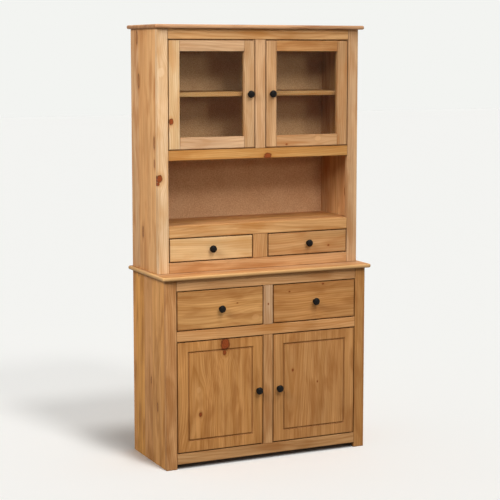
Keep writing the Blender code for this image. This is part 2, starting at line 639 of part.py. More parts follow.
def make_base_cabinet(carcass):
    """The fixed pieces of the base cabinet."""
    panel_z = (0.0, BASE_CARCASS_Z1 - SEAT_GAP)
    sides = {
        -1: make_side_panel("base_side_left", -1, BASE_FRONT_Y, panel_z, TAN_PINE, carcass),
        1: make_side_panel("base_side_right", 1, BASE_FRONT_Y, panel_z, TAN_PINE, carcass),
    }
    stile_y = (BASE_FRONT_Y, BASE_FRONT_Y + FRONT_T)
    inner_stile_x = HALF_WIDTH - BASE_STILE_W
    for side, word in SIDES:
        make_board(f"base_stile_{word}", mirrored(side, inner_stile_x, HALF_WIDTH), stile_y, panel_z,
                   TAN_PINE, carcass, FRAME_ARRIS, 2)
    half_rail = inner_stile_x - SEAT_GAP
    make_rail("base_top_rail", half_rail, BASE_FRONT_Y, (BASE_DRAWER_Z1, BASE_CARCASS_Z1 - SEAT_GAP),
              TAN_PINE, carcass)
    make_rail("base_middle_rail", half_rail, BASE_FRONT_Y, (BASE_DOOR_Z1, BASE_DRAWER_Z0), TAN_PINE, carcass)
    make_rail("base_bottom_rail", half_rail, BASE_FRONT_Y, (PLINTH_CLEARANCE, BASE_DOOR_Z0),
              TAN_PINE, carcass)
    make_mullion("base_drawer_mullion", BASE_MULLION_W, BASE_FRONT_Y, (BASE_DRAWER_Z0, BASE_DRAWER_Z1),
                 TAN_PINE, carcass)
    make_mullion("base_door_mullion", BASE_MULLION_W, BASE_FRONT_Y, (BASE_DOOR_Z0, BASE_DOOR_Z1),
                 TAN_PINE, carcass)
    make_nosed_top("base_top_board", HALF_WIDTH + BASE_TOP_SIDE_OVERHANG,
                   (BASE_FRONT_Y - BASE_TOP_FRONT_OVERHANG, REAR_Y), (BASE_CARCASS_Z1, HUTCH_Z0), carcass)
    inside_y = BASE_FRONT_Y + FRONT_T + SEAT_GAP
    house_board("base_floor", sides, inside_y, BASE_DOOR_Z0, INNER_BOARD_T, BARE_PINE, carcass)
    house_board("base_shelf", sides, inside_y + BASE_SHELF_SETBACK, BASE_DOOR_Z0 + BASE_SHELF_RISE,
                INNER_BOARD_T, BARE_PINE, carcass)
    make_back_panel("base_back_panel", (BASE_DOOR_Z0 - INNER_BOARD_T, BASE_CARCASS_Z1 - SEAT_GAP), carcass)


def make_hutch(carcass):
    """The fixed pieces of the hutch."""
    panel_z = (HUTCH_Z0 + SEAT_GAP, HUTCH_CARCASS_Z1 - SEAT_GAP)
    sides = {
        -1: make_side_panel("hutch_side_left", -1, HUTCH_FRONT_Y, panel_z, TAN_PINE, carcass),
        1: make_side_panel("hutch_side_right", 1, HUTCH_FRONT_Y, panel_z, TAN_PINE, carcass),
    }
    stile_y = (HUTCH_FRONT_Y, HUTCH_FRONT_Y + FRONT_T)
    inner_stile_x = HALF_WIDTH - HUTCH_STILE_W
    make_board("hutch_stile_left", mirrored(-1, inner_stile_x, HALF_WIDTH), stile_y, panel_z,
               PALE_PINE, carcass, FRAME_ARRIS, 2)
    make_board("hutch_stile_right", mirrored(1, inner_stile_x, HALF_WIDTH), stile_y, panel_z,
               GOLDEN_PINE, carcass, FRAME_ARRIS, 2)
    half_rail = inner_stile_x - SEAT_GAP
    rails = (
        ("hutch_top_rail", HUTCH_DOOR_Z1, HUTCH_CARCASS_Z1 - SEAT_GAP),
        ("hutch_middle_rail", NICHE_Z1, HUTCH_DOOR_Z0),
        ("hutch_niche_rail", HUTCH_DRAWER_Z1, NICHE_Z0),
        ("hutch_bottom_rail", HUTCH_Z0 + SEAT_GAP, HUTCH_DRAWER_Z0),
    )
    for name, low, high in rails:
        make_rail(name, half_rail, HUTCH_FRONT_Y, (low, high), GOLDEN_PINE, carcass)
    make_mullion("hutch_door_mullion", HUTCH_DOOR_MULLION_W, HUTCH_FRONT_Y, (HUTCH_DOOR_Z0, HUTCH_DOOR_Z1),
                 GOLDEN_PINE, carcass)
    make_mullion("hutch_drawer_mullion", HUTCH_DRAWER_MULLION_W, HUTCH_FRONT_Y,
                 (HUTCH_DRAWER_Z0, HUTCH_DRAWER_Z1), GOLDEN_PINE, carcass)
    cornice_y = (HUTCH_FRONT_Y - CORNICE_FRONT_OVERHANG, REAR_Y)
    make_nosed_top("hutch_cornice", HALF_WIDTH + CORNICE_SIDE_OVERHANG, cornice_y,
                   (HUTCH_CARCASS_Z1, HIGHBOARD_Z1), carcass)
    inside_y = HUTCH_FRONT_Y + FRONT_T + SEAT_GAP
    house_board("hutch_niche_shelf", sides, inside_y, NICHE_Z0, INNER_BOARD_T, TAN_PINE, carcass)
    house_board("hutch_case_floor", sides, inside_y, HUTCH_DOOR_Z0, INNER_BOARD_T, TAN_PINE, carcass)
    house_board("hutch_display_shelf", sides, inside_y + DISPLAY_SHELF_SETBACK,
                HUTCH_DOOR_Z0 + DISPLAY_SHELF_RISE + DISPLAY_SHELF_T, DISPLAY_SHELF_T, TAN_PINE, carcass)
    make_back_panel("hutch_back_panel", panel_z, carcass)


def make_hinge_arms(unit, stile_w, front_y, opening_z, carcass):
    """The hinge arms of one pair of doors."""
    door_z = shrink(opening_z, FRONT_GAP, FRONT_GAP)
    for side, side_word in SIDES:
        for z, level in zip(hinge_heights(door_z), ("lower", "upper")):
            make_hinge_arm(f"{unit}_hinge_arm_{side_word}_{level}", side, stile_w, front_y, z, carcass)


for old_object in list(bpy.data.objects):
    bpy.data.objects.remove(old_object, do_unlink=True)

HIGHBOARD = make_empty("highboard", (0.0, -CENTRE_Y, 0.0))
CARCASS = make_empty("carcass", (0.0, 0.0, 0.0), HIGHBOARD)
make_base_cabinet(CARCASS)
make_hutch(CARCASS)
make_runner_frame("base_runner_frame", BASE_STILE_W, BASE_MULLION_W, BASE_FRONT_Y, BASE_DRAWER_Z0, CARCASS)
make_runner_frame("hutch_runner_frame", HUTCH_STILE_W, HUTCH_DRAWER_MULLION_W, HUTCH_FRONT_Y,
                  HUTCH_DRAWER_Z0, CARCASS)
make_hinge_arms("base", BASE_STILE_W, BASE_FRONT_Y, (BASE_DOOR_Z0, BASE_DOOR_Z1), CARCASS)
make_hinge_arms("hutch", HUTCH_STILE_W, HUTCH_FRONT_Y, (HUTCH_DOOR_Z0, HUTCH_DOOR_Z1), CARCASS)
for door_side, side_word in SIDES:
    make_base_door(f"base_door_{side_word}", door_side)
    make_glazed_door(f"hutch_door_{side_word}", door_side)
    make_drawer(f"base_drawer_{side_word}", door_side, BASE_MULLION_W, BASE_STILE_W, BASE_FRONT_Y,
                (BASE_DRAWER_Z0, BASE_DRAWER_Z1), BROWN_PINE)
    make_drawer(f"hutch_drawer_{side_word}", door_side, HUTCH_DRAWER_MULLION_W, HUTCH_STILE_W, HUTCH_FRONT_Y,
                (HUTCH_DRAWER_Z0, HUTCH_DRAWER_Z1), TAN_PINE)
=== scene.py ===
"""Looks of the two-part pine highboard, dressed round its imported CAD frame.

Lengths are metres, written as millimetres times MM. Each board takes its place from its CAD node, so it
follows the frame when a size there changes. The order is: helpers, finishes, pieces, stage, lamps, camera.
"""

import json
import math
from functools import partial

import bmesh
import bpy
from mathutils import Matrix, Vector


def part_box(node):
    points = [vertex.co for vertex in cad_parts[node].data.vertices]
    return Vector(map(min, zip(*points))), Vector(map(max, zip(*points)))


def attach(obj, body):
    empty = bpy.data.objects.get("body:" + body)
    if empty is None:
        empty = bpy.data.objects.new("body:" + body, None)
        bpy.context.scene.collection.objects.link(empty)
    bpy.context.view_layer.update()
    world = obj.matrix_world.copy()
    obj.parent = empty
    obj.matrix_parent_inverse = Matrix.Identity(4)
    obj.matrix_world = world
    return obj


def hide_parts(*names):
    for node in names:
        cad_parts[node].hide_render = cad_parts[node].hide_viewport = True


MM = 0.001

# Fronts and edges
FRONT_T = 20 * MM
BOARD_EASE = 1.6 * MM
FRONT_EASE = 2 * MM
# The band along each eased edge where the pine is darkened, for wax and as painted shade between boards
SEAM_BAND = 2 * MM
EASE_STEPS = 3
SHARP_ANGLE = 50

# Routed groove of the base doors; its margins at the sides, the top and the bottom
GROOVE_W = 7.5 * MM
GROOVE_DEPTH = 4 * MM
GROOVE_MARGINS = (41.5 * MM, 36.5 * MM, 42 * MM)
GROOVE_BAND = 1.5 * MM
GROOVE_STEPS = 8

# Glazed doors
SASH_STILE_W = 44 * MM
SASH_TOP_RAIL_H = 42 * MM
SASH_BOTTOM_RAIL_H = 44 * MM
REBATE_W = 8 * MM
REBATE_FROM_FRONT = 9.7 * MM
BEAD_GAP = 0.2 * MM
BEAD_ROUND = 4.5 * MM
BEAD_STEPS = 5

# Top boards
TOP_STAVE_W = 58 * MM
NOSE_R = 6.5 * MM
PLAN_CORNER_R = 9 * MM
NOSE_STEPS = 7
PLAN_CORNER_STEPS = 5

# Drawer boxes
WALL_T = 12 * MM
WALL_EASE = 1 * MM
BOTTOM_T = 4 * MM
BOTTOM_RISE = 10 * MM
BACK_DROP = 8 * MM
BOX_FIT = 0.2 * MM

# Knobs
KNOB_FOOT_R = 8.5 * MM
KNOB_FOOT_H = 2 * MM
KNOB_FOOT_EASE = 0.4 * MM
KNOB_NECK_R = 6.5 * MM
KNOB_R = 14.5 * MM
KNOB_LENGTH = 25 * MM
KNOB_DOME_H = 8.5 * MM
KNOB_UNDERSIDE_H = 3.5 * MM
KNOB_STEPS = 8
DOME_STEPS = 12
TURNING_STEPS = 64

# Hinge cups
CUP_R = 13 * MM
CUP_DEPTH = 11.5 * MM
CUP_WALL_T = 0.8 * MM
CUP_FLANGE_R = 16 * MM
CUP_FLANGE_T = 1.2 * MM
CUP_FIT = 0.1 * MM
CUP_EASE = 0.4 * MM
CUP_LIP_R = 0.6 * MM
CUP_FLOOR_R = 1.5 * MM
CUP_CENTRE_FROM_EDGE = 17 * MM
CUP_CENTRE_FROM_END = 75 * MM

# Screws and panel pins; a screw head's crown, slot length and slot width are shares of its radius
SCREW_HEAD_R = 3.6 * MM
SCREW_HEAD_H = 1.4 * MM
SCREW_HEAD_SHARES = (0.72, 1.05, 0.24)
PLATE_SCREW_FROM_SIDE = 12 * MM
PLATE_SCREW_RISE = 16.5 * MM
PLATE_T = 2.3 * MM
SEAT_GAP = 0.3 * MM
PIN_HEAD_R = 1.8 * MM
PIN_HEAD_H = 0.5 * MM
PIN_SPACING = 85 * MM
PIN_EDGE_DISTANCE = 4.5 * MM


def linear(hex_colour):
    """Turn an sRGB hex colour into linear values with full alpha."""
    channels = [int(hex_colour[at:at + 2], 16) / 255 for at in (1, 3, 5)]
    spread = [c / 12.92 if c <= 0.04045 else ((c + 0.055) / 1.055) ** 2.4 for c in channels]
    return (*spread, 1.0)


def connect(node, inputs):
    """Fill a node's inputs, a dict by name or a list in their order; each takes a value, a socket, or a node,
    which stands for its first output in use."""
    if isinstance(inputs, dict):
        sockets = [node.inputs[key] for key in inputs]
        inputs = inputs.values()
    else:
        sockets = [socket for socket in node.inputs if socket.enabled]
    for socket, value in zip(sockets, inputs):
        if isinstance(value, bpy.types.Node):
            value = next(output for output in value.outputs if output.enabled)
        if isinstance(value, bpy.types.NodeSocket):
            node.id_data.links.new(value, socket)
        else:
            socket.default_value = value
    return node


def add_node(tree, kind, inputs=(), operation=None, **settings):
    """Add a node with its settings and fill its inputs; a shader node's kind goes without 'ShaderNode'."""
    node = tree.nodes.new(kind if "Node" in kind else f"ShaderNode{kind}")
    if operation:
        node.operation = operation
    for name, value in settings.items():
        setattr(node, name, value)
    return connect(node, inputs)


def turns(steps, whole=math.pi / 2):
    """Even steps of a turn, both ends counted."""
    return [whole * step / steps for step in range(steps + 1)]


# ---- the CAD frame

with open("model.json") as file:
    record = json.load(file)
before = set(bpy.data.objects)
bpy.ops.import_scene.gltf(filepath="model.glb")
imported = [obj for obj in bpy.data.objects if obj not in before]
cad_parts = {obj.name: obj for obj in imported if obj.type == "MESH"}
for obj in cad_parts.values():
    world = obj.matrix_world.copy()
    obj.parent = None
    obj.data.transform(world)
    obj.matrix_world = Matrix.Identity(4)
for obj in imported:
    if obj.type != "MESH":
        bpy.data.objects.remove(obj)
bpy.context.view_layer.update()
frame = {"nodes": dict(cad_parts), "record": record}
NODES = frame["nodes"]
BODY_OF = {node: body for body, members in frame["record"]["behaviour"]["bodies"].items() for node in members}


# ---- finishes

def open_group(name, kind, inputs, outputs):
    """A node group; its inputs and outputs are listed by their kind of socket."""
    tree = bpy.data.node_groups.new(name, kind)
    for side, sockets in (("INPUT", inputs), ("OUTPUT", outputs)):
        for word, labels in sockets.items():
            for label in labels:
                tree.interface.new_socket(label, in_out=side, socket_type=f"NodeSocket{word}")
    add = partial(add_node, tree)
    return tree, add, add("NodeGroupInput").outputs, add("NodeGroupOutput")


def make_knot_group():
    """One knot: how far it pushes the grain aside, and where its heart and its dark surround lie."""
    tree, add, given, result = open_group(
        "pine knot", "ShaderNodeTree", {"Vector": ["Place", "Knot"], "Float": ["Roundness"]},
        {"Float": ["Bend", "Distance", "Paleness"]})
    place = add("SeparateXYZ", [given["Place"]]).outputs
    knot = add("SeparateXYZ", [given["Knot"]]).outputs
    size = add("Math", [knot[2]], "ABSOLUTE")
    pale = add("Math", [knot[2], 0.0], "LESS_THAN")
    offsets = [add("Math", [place[axis], knot[axis]], "SUBTRACT") for axis in (0, 1)]
    sizes = [add("Math", [offset, size], "DIVIDE") for offset in offsets]
    reach = add("CombineXYZ", [sizes[0], sizes[1]])

    # The push is strongest beside the knot and fades along the grain
    spread = add("VectorMath", [reach, (0.27, 0.42, 0)], "MULTIPLY")
    squared = add("VectorMath", [spread, spread], "DOT_PRODUCT")
    falling = add("Math", [squared, -1.0], "MULTIPLY")
    fading = add("Math", [falling], "EXPONENT")
    pushed = add("Math", [offsets[1], fading], "MULTIPLY")
    bend = add("Math", [pushed, 0.85], "MULTIPLY")

    # Distance is 1 at the heart's rim: an oval, made uneven by a soft noise and one torn along the grain
    uneven = add("TexNoise", {"Vector": reach, "Scale": 1.3, "Detail": 2})
    proportions = add("CombineXYZ", [given["Roundness"], 1.0])
    oval = add("VectorMath", [reach, proportions], "MULTIPLY")
    length = add("VectorMath", [oval], "LENGTH")
    uneven_length = add("Math", [uneven, 0.45, length], "MULTIPLY_ADD")
    torn = add("VectorMath", [oval, (0.8, 2.6, 1)], "MULTIPLY")
    tearing = add("TexNoise", {"Vector": torn, "Scale": 1.6, "Detail": 3})
    tear = add("Math", [tearing, 0.6, -0.18], "MULTIPLY_ADD")
    distance = add("Math", [uneven_length, tear], "ADD")
    connect(result, {"Bend": bend, "Distance": distance, "Paleness": pale})
    return tree


PLACED_KNOTS = [f"Knot {number}" for number in range(1, 6)]
FAR_KNOT = (9, 9, 9, 10)
ONE_PLANK = 1

RING_SPACING = 6.8 * MM
PITH_DEPTH = 35 * MM
PITH_TAPER = 0.02
FEW_STRAY, SOME_STRAY = 0.03, 0.10
STRAY_KNOT_R = (3 * MM, 8 * MM)

# Noises of the grain: how fine they are along it and across it, and their detail
GRAIN_NOISES = {
    "wander": (2.2, 3, 1),
    "ripple": (11, 90, 2),
    "fibre": (22, 900, 2),
    "cloud": (5, 16, 2),
    "patch": (6, 24, 3),
    "streak": (3, 165, 2),
}


def make_pine_group():
    """Planed pine: growth rings round a pith line, glued staves, knots that push the grain, and fibres.

    Place is in the board's own axes: X along the grain, Y across the face, Z through the board.
    """
    tree, add, given, result = open_group("planed pine", "ShaderNodeTree", {
        "Vector": ["Place", *PLACED_KNOTS], "Color": ["Pale", "Late wood", "Resin", "Knot heart"],
        "Float": ["Seed", "Tone", "Stave width", "End grain", "Stray knots", "Knot roundness"],
    }, {"Color": ["Color"], "Float": ["Roughness", "Height"]})
    place = add("SeparateXYZ", [given["Place"]]).outputs

    # Each glued stave is a plank of its own
    widths = add("Math", [place[1], given["Stave width"]], "DIVIDE")
    stave = add("Math", [widths], "ROUND")
    stave_key = add("CombineXYZ", [stave, given["Seed"], 0.5])
    stave_chance = add("TexWhiteNoise", {"Vector": stave_key})
    chance = add("SeparateColor", [stave_chance.outputs["Color"]]).outputs
    middle = add("Math", [stave, given["Stave width"]], "MULTIPLY")
    across = add("Math", [place[1], middle], "SUBTRACT")
    shifted = add("Math", [chance[0], 3.7, place[0]], "MULTIPLY_ADD")
    own_place = add("CombineXYZ", [shifted, across, place[2]])
    noise = {}
    for word, (along, sideways, detail) in GRAIN_NOISES.items():
        drawn_out = add("VectorMath", [own_place, (along, sideways, sideways)], "MULTIPLY")
        noise[word] = add("TexNoise", {"Vector": drawn_out, "Scale": 1, "Detail": detail})
    connect(noise["patch"], {"Distortion": 0.4})

    # Knots: those listed and stray ones, one at most for each cell of a loose net
    seed_shift = add("CombineXYZ", [given["Seed"], given["Seed"]])
    strewn = add("VectorMath", [given["Place"], seed_shift], "ADD")
    net = add("TexVoronoi", {"Vector": strewn, "Scale": 6.5, "Randomness": 0.85},
              voronoi_dimensions="2D").outputs
    cell = add("VectorMath", [net["Position"], seed_shift], "SUBTRACT")
    cell_place = add("SeparateXYZ", [cell]).outputs
    cell_chance = add("SeparateColor", [net["Color"]]).outputs
    has_knot = add("Math", [cell_chance[0], given["Stray knots"]], "LESS_THAN")
    stray_size = add("MapRange", [cell_chance[1], 0, 1, *STRAY_KNOT_R])
    stray_far = add("Math", [has_knot, -9.0, 9.0], "MULTIPLY_ADD")
    stray_along = add("Math", [cell_place[0], stray_far], "ADD")
    stray = add("CombineXYZ", [stray_along, cell_place[1], stray_size])
    knot_tree = make_knot_group()
    knots = [add("Group", {"Place": given["Place"], "Knot": knot, "Roundness": given["Knot roundness"]},
                 node_tree=knot_tree).outputs for knot in (stray, *(given[name] for name in PLACED_KNOTS))]
    bend, nearest, paleness = (knots[0][word] for word in ("Bend", "Distance", "Paleness"))
    for knot in knots[1:]:
        bend = add("Math", [bend, knot["Bend"]], "ADD")
        closer = add("Math", [knot["Distance"], nearest], "LESS_THAN")
        paleness = add("Mix", [closer, paleness, knot["Paleness"]])
        nearest = add("Math", [nearest, knot["Distance"]], "MINIMUM")

    # The pith line wanders slowly, so the rings show as long arches and stripes
    drift = add("SeparateColor", [noise["wander"].outputs["Color"]]).outputs
    beside = add("Math", [across, bend], "SUBTRACT")
    for shift, reach in ((drift[0], 0.07), (chance[1], 0.09)):
        beside = add("Math", [shift, reach, beside], "MULTIPLY_ADD")
    below = add("Math", [place[0], PITH_TAPER, PITH_DEPTH], "MULTIPLY_ADD")
    for shift, reach in ((drift[1], 0.05), (chance[2], 0.03)):
        below = add("Math", [shift, reach, below], "MULTIPLY_ADD")
    section = add("CombineXYZ", [beside, add("Math", [below, place[2]], "ADD")])
    radius = add("VectorMath", [section], "LENGTH")
    rippled = add("Math", [noise["ripple"], 2.4 * MM, radius], "MULTIPLY_ADD")
    rings = add("Math", [rippled, RING_SPACING], "DIVIDE")

    # Within a ring the wood darkens slowly and ends sharply; rings differ from each other in bands
    part = add("Math", [rings], "FRACT")
    growth = add("ValToRGB", [part])
    growth.color_ramp.elements[0].position = 0.35
    growth.color_ramp.elements[1].position = 0.90
    growth.color_ramp.elements.new(1.0).color = (0.1, 0.1, 0.1, 1)
    seeded_rings = add("Math", [given["Seed"], 17.0, rings], "MULTIPLY_ADD")
    band = add("TexNoise", {"W": seeded_rings, "Scale": 0.33, "Detail": 4}, noise_dimensions="1D")
    band_share = add("MapRange", [band, 0.38, 0.62])
    figure = add("Mix", [0.50, growth, band_share])
    fibred = add("Mix", [0.22, figure, noise["fibre"]])
    wood = add("Mix", [fibred, given["Pale"], given["Late wood"]], data_type="RGBA")

    # Clouds of wax, and each stave's tone and warmth; a range is a value, its two ends and what they give
    tone = add("MapRange", [noise["cloud"], 0.3, 0.7, 0.90, 1.10])
    for factor in (add("MapRange", [chance[0], 0, 1, 0.92, 1.08]), given["Tone"]):
        tone = add("Math", [tone, factor], "MULTIPLY")
    warmth = add("MapRange", [chance[2], 0, 1, 0.497, 0.503])
    richness = add("MapRange", [chance[1], 0, 1, 0.93, 1.05])
    toned = add("HueSaturation", {"Hue": warmth, "Saturation": richness, "Value": tone, "Color": wood})

    # Patches and streaks of resin; a knot's amber surround, its dark rim and all that lies inside it
    share = {}
    for word, *reach in (
        ("patch", noise["patch"], 0.44, 0.72, 0, 0.64), ("streak", noise["streak"], 0.44, 0.68, 0, 0.38),
        ("surround", nearest, 2.3, 0.9, 0, 0.6), ("rim", nearest, 0.78, 1.05),
        ("inside", nearest, 1.30, 0.98),
    ):
        share[word] = add("MapRange", reach, interpolation_type="SMOOTHSTEP")

    # End grain drinks more wax, most of it in the late wood
    end_share = add("MapRange", [given["End grain"], 0.6, 0.95, 0, 0.75])
    end_wax = add("Math", [end_share, add("MapRange", [fibred, 0, 1, 0.45, 1.0])], "MULTIPLY")

    # A knot's heart is red-brown with rings of its own; a pale knot is only a swirl in the wood
    heart_rings = add("Math", [nearest, 21.0], "MULTIPLY")
    heart_wave = add("Math", [heart_rings], "SINE")
    heart_share = add("MapRange", [heart_wave, -1, 1, 0, 0.4])
    heart = add("Mix", [heart_share, given["Knot heart"], linear("#4A2210")], data_type="RGBA")
    dark_heart = add("HueSaturation", {"Value": 0.42, "Color": given["Knot heart"]})
    rimmed = add("Mix", [share["rim"], heart, dark_heart], data_type="RGBA")
    not_pale = add("Math", [1.0, paleness], "SUBTRACT")
    dark_surround = add("Math", [share["surround"], not_pale], "MULTIPLY")
    dark_inside = add("Math", [share["inside"], not_pale], "MULTIPLY")
    swirl = add("Math", [share["inside"], paleness], "MULTIPLY")
    swirl_share = add("Math", [swirl, 0.45], "MULTIPLY")

    # Wax and painted shade darken the marked eased edges and grooves; the marked nosing is painted paler, a
    # painted highlight
    for word, most in (("seam", 0.20), ("hollow", 0.42), ("worn", 0.45)):
        mark = add("Attribute", attribute_name=word).outputs["Fac"]
        share[word] = add("Math", [mark, most], "MULTIPLY")
    wax_share = add("Math", [share["seam"], share["hollow"]], "MAXIMUM")

    colour = toned
    for amount, over in (
        (share["patch"], given["Resin"]), (share["streak"], given["Resin"]), (end_wax, linear("#7D4C2C")),
        (dark_surround, given["Resin"]), (dark_inside, rimmed), (swirl_share, given["Pale"]),
        (share["worn"], linear("#D2AC74")), (wax_share, linear("#5A3316")),
    ):
        colour = add("Mix", [amount, colour, over], data_type="RGBA")
    gloss = add("MapRange", [fibred, 0, 1, 0.58, 0.72])
    smoother = add("Math", [dark_inside, -0.08, gloss], "MULTIPLY_ADD")
    height = add("Math", [dark_inside, 0.6, fibred], "MULTIPLY_ADD")
    connect(result, {"Color": colour, "Roughness": smoother, "Height": height})
    return tree


PINE_GROUP = make_pine_group()

# Waxed pine finishes: early wood, late wood, resin. Wax turns the sapwood honey and the late wood amber.
PINES = {
    "pale": ("#DEC09A", "#C29A6C", "#BE8B55"),
    "cream": ("#E3BD8C", "#CB9D68", "#BD8B52"),
    "rosy": ("#CFA97F", "#AD835A", "#A67446"),
    "golden": ("#DBA76C", "#B97F46", "#A96C30"),
    "honey": ("#D7A675", "#B88453", "#A56B39"),
    "amber": ("#D1985C", "#AE763B", "#97602C"),
    "tan": ("#CE9C68", "#AC7646", "#995F2E"),
    "brown": ("#CE9A63", "#AB7641", "#965D2B"),
    "nosing": ("#C89C71", "#97673F", "#83522F"),
    "bare": ("#DDB98C", "#C79A66", "#BC8A54"),
}


def start_material(name):
    """A new material, the function that adds nodes to it, and its shader."""
    material = bpy.data.materials.new(name)
    material.use_nodes = True
    return material, partial(add_node, material.node_tree), material.node_tree.nodes["Principled BSDF"]


def board_axes(low, high):
    """The board's centre, and its axes as columns: along the grain (longest), across, through (thinnest)."""
    size = high - low
    order = sorted(range(3), key=lambda axis: size[axis])
    along, across = Vector(), Vector()
    along[order[2]] = 1.0
    across[order[1]] = 1.0
    return (low + high) / 2, Matrix((along, across, along.cross(across))).transposed()


def make_pine(name, low, high, finish, seed, tone=1.0, stave_w=ONE_PLANK, knots=(), stray=SOME_STRAY,
              roundness=0.72, heart="#93461F"):
    """Waxed pine for one board; its grain runs along the board's longest side.

    The wax leaves a satin shine, a little duller on the late wood, and the fibres can just be felt.
    """
    material, add, shader = start_material(f"waxed pine, {name}".replace("_", " "))
    centre, turn = board_axes(low, high)
    pale, late, resin = map(linear, PINES[finish])
    coordinates = add("TexCoord").outputs
    board = add("Mapping", {"Vector": coordinates["Object"], "Location": centre, "Rotation": turn.to_euler()},
                vector_type="TEXTURE")
    along = add("VectorMath", [coordinates["Normal"], turn.col[0]], "DOT_PRODUCT")
    end_on = add("Math", [along], "ABSOLUTE")
    spots = {}
    for label, (*spot, size) in zip(PLACED_KNOTS, [*knots] + [FAR_KNOT] * len(PLACED_KNOTS)):
        local = turn.transposed() @ (Vector(spot) - centre)
        spots[label] = (local.x, local.y, size * MM)
    wood = add("Group", node_tree=PINE_GROUP)
    connect(wood, {
        "Place": board, "End grain": end_on, "Seed": seed, "Pale": pale, "Late wood": late, "Resin": resin,
        "Tone": tone, "Stave width": stave_w, "Stray knots": stray, "Knot roundness": roundness,
        "Knot heart": linear(heart), **spots,
    })
    bump = add("Bump", {"Height": wood.outputs["Height"], "Strength": 0.35, "Distance": 0.15 * MM})
    connect(shader, {"Base Color": wood.outputs["Color"], "Roughness": wood.outputs["Roughness"],
                     "Normal": bump, "Specular IOR Level": 0.16})
    return material


def make_hardboard():
    """Brown hardboard: pressed wood fibre, matt, with pale and dark flecks of fibre 2 to 6 mm long."""
    material, add, shader = start_material("brown hardboard, pressed fibre")
    place = add("TexCoord").outputs["Object"]
    fleck = add("TexNoise", {"Vector": place, "Scale": 190, "Detail": 3, "Roughness": 0.7})
    cloud = add("TexNoise", {"Vector": place, "Scale": 14, "Detail": 3})
    mottle = add("Mix", [0.2, fleck, cloud])
    share = add("MapRange", [mottle, 0.36, 0.64])
    colour = add("Mix", [share, linear("#BC8D63"), linear("#D8AD83")], data_type="RGBA")
    bump = add("Bump", {"Height": fleck, "Strength": 0.25, "Distance": 0.2 * MM})
    connect(shader, {"Base Color": colour, "Normal": bump, "Roughness": 0.75, "Specular IOR Level": 0.25})
    return material


def make_black_lacquer():
    """Black satin lacquer on turned wood: near black with a soft, slightly uneven shine."""
    material, add, shader = start_material("black satin lacquer")
    place = add("TexCoord").outputs["Object"]
    peel = add("TexNoise", {"Vector": place, "Scale": 420, "Detail": 2})
    wear = add("TexNoise", {"Vector": place, "Scale": 90, "Detail": 2})
    colour = add("Mix", [wear, linear("#070504"), linear("#120D0A")], data_type="RGBA")
    rough = add("MapRange", [wear, 0, 1, 0.34, 0.50])
    bump = add("Bump", {"Height": peel, "Strength": 0.12, "Distance": 0.1 * MM})
    connect(shader, {"Base Color": colour, "Roughness": rough, "Normal": bump, "Specular IOR Level": 0.14})
    return material


def make_steel(name, dull, bright, smoothest, roughest):
    """Small steelwork: zinc plating is cool grey with faint clouds, blued pins are dark and duller."""
    material, add, shader = start_material(name)
    cloud = add("TexNoise", {"Vector": add("TexCoord").outputs["Object"], "Scale": 160, "Detail": 3})
    colour = add("Mix", [cloud, linear(dull), linear(bright)], data_type="RGBA")
    rough = add("MapRange", [cloud, 0, 1, smoothest, roughest])
    connect(shader, {"Base Color": colour, "Roughness": rough, "Metallic": 1.0})
    return material


# A lit room is darker in front of a pane than this plain background, so a pane shows part of its reflection
GLASS_SHEEN = 0.2


def make_glass():
    """Clear float glass: the case shows through it, a touch greener, under a thin reflection of its front."""
    material, add, shader = start_material("clear float glass")
    material.node_tree.nodes.remove(shader)
    through = add("BsdfTransparent", [linear("#FAFCFA")])
    mirror = add("BsdfGlossy", [(1, 1, 1, 1), 0.02])
    reflected = add("Fresnel", {"IOR": 1.45})
    back_face = add("NewGeometry").outputs["Backfacing"]
    front_face = add("Math", [back_face, -GLASS_SHEEN, GLASS_SHEEN], "MULTIPLY_ADD")
    share = add("Math", [reflected, front_face], "MULTIPLY")
    connect(material.node_tree.nodes["Material Output"],
            {"Surface": add("MixShader", [share, through, mirror])})
    return material


HARDBOARD = make_hardboard()
BLACK_LACQUER = make_black_lacquer()
ZINC = make_steel("zinc-plated steel", "#A9ACAF", "#CDD0D2", 0.28, 0.45)
BLUED_STEEL = make_steel("blued steel panel pins", "#26282C", "#3C4046", 0.35, 0.55)
GLASS = make_glass()


# ---- pieces

def link_shape(name, shape):
    """Put a drawn shape into the scene as an object."""
    mesh = bpy.data.meshes.new(name)
    shape.to_mesh(mesh)
    shape.free()
    thing = bpy.data.objects.new(name, mesh)
    bpy.context.scene.collection.objects.link(thing)
    return thing


def bake(piece):
    """Turn a piece's modifiers into plain mesh."""
    graph = bpy.context.evaluated_depsgraph_get()
    mesh = bpy.data.meshes.new_from_object(piece.evaluated_get(graph))
    piece.modifiers.clear()
    piece.data = mesh


def settle(piece, node, replaced=True):
    """Hang a finished piece on the body of its CAD node, which it can stand for."""
    bake(piece)
    piece.data.name = piece.name
    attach(piece, BODY_OF[node])
    if replaced:
        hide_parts(node)


def make_piece(name, shape, material, node, cuts=(), replaced=True):
    """Turn a shape into a piece with flat faces and smooth rounds, less the shapes cut from it."""
    bmesh.ops.recalc_face_normals(shape, faces=shape.faces)
    piece = link_shape(name, shape)
    piece.data.materials.append(material)
    piece.data.shade_smooth()
    piece.data.set_sharp_from_angle(angle=math.radians(SHARP_ANGLE))
    piece.modifiers.new("flat faces stay flat", "WEIGHTED_NORMAL").keep_sharp = True
    for cut in cuts:
        bmesh.ops.recalc_face_normals(cut, faces=cut.faces)
        cutter = link_shape(f"{name}_cut", cut)
        boolean = piece.modifiers.new("cut", "BOOLEAN")
        boolean.operation = "DIFFERENCE"
        boolean.solver = "EXACT"
        boolean.object = cutter
        bake(piece)
        bpy.data.objects.remove(cutter)
    settle(piece, node, replaced)


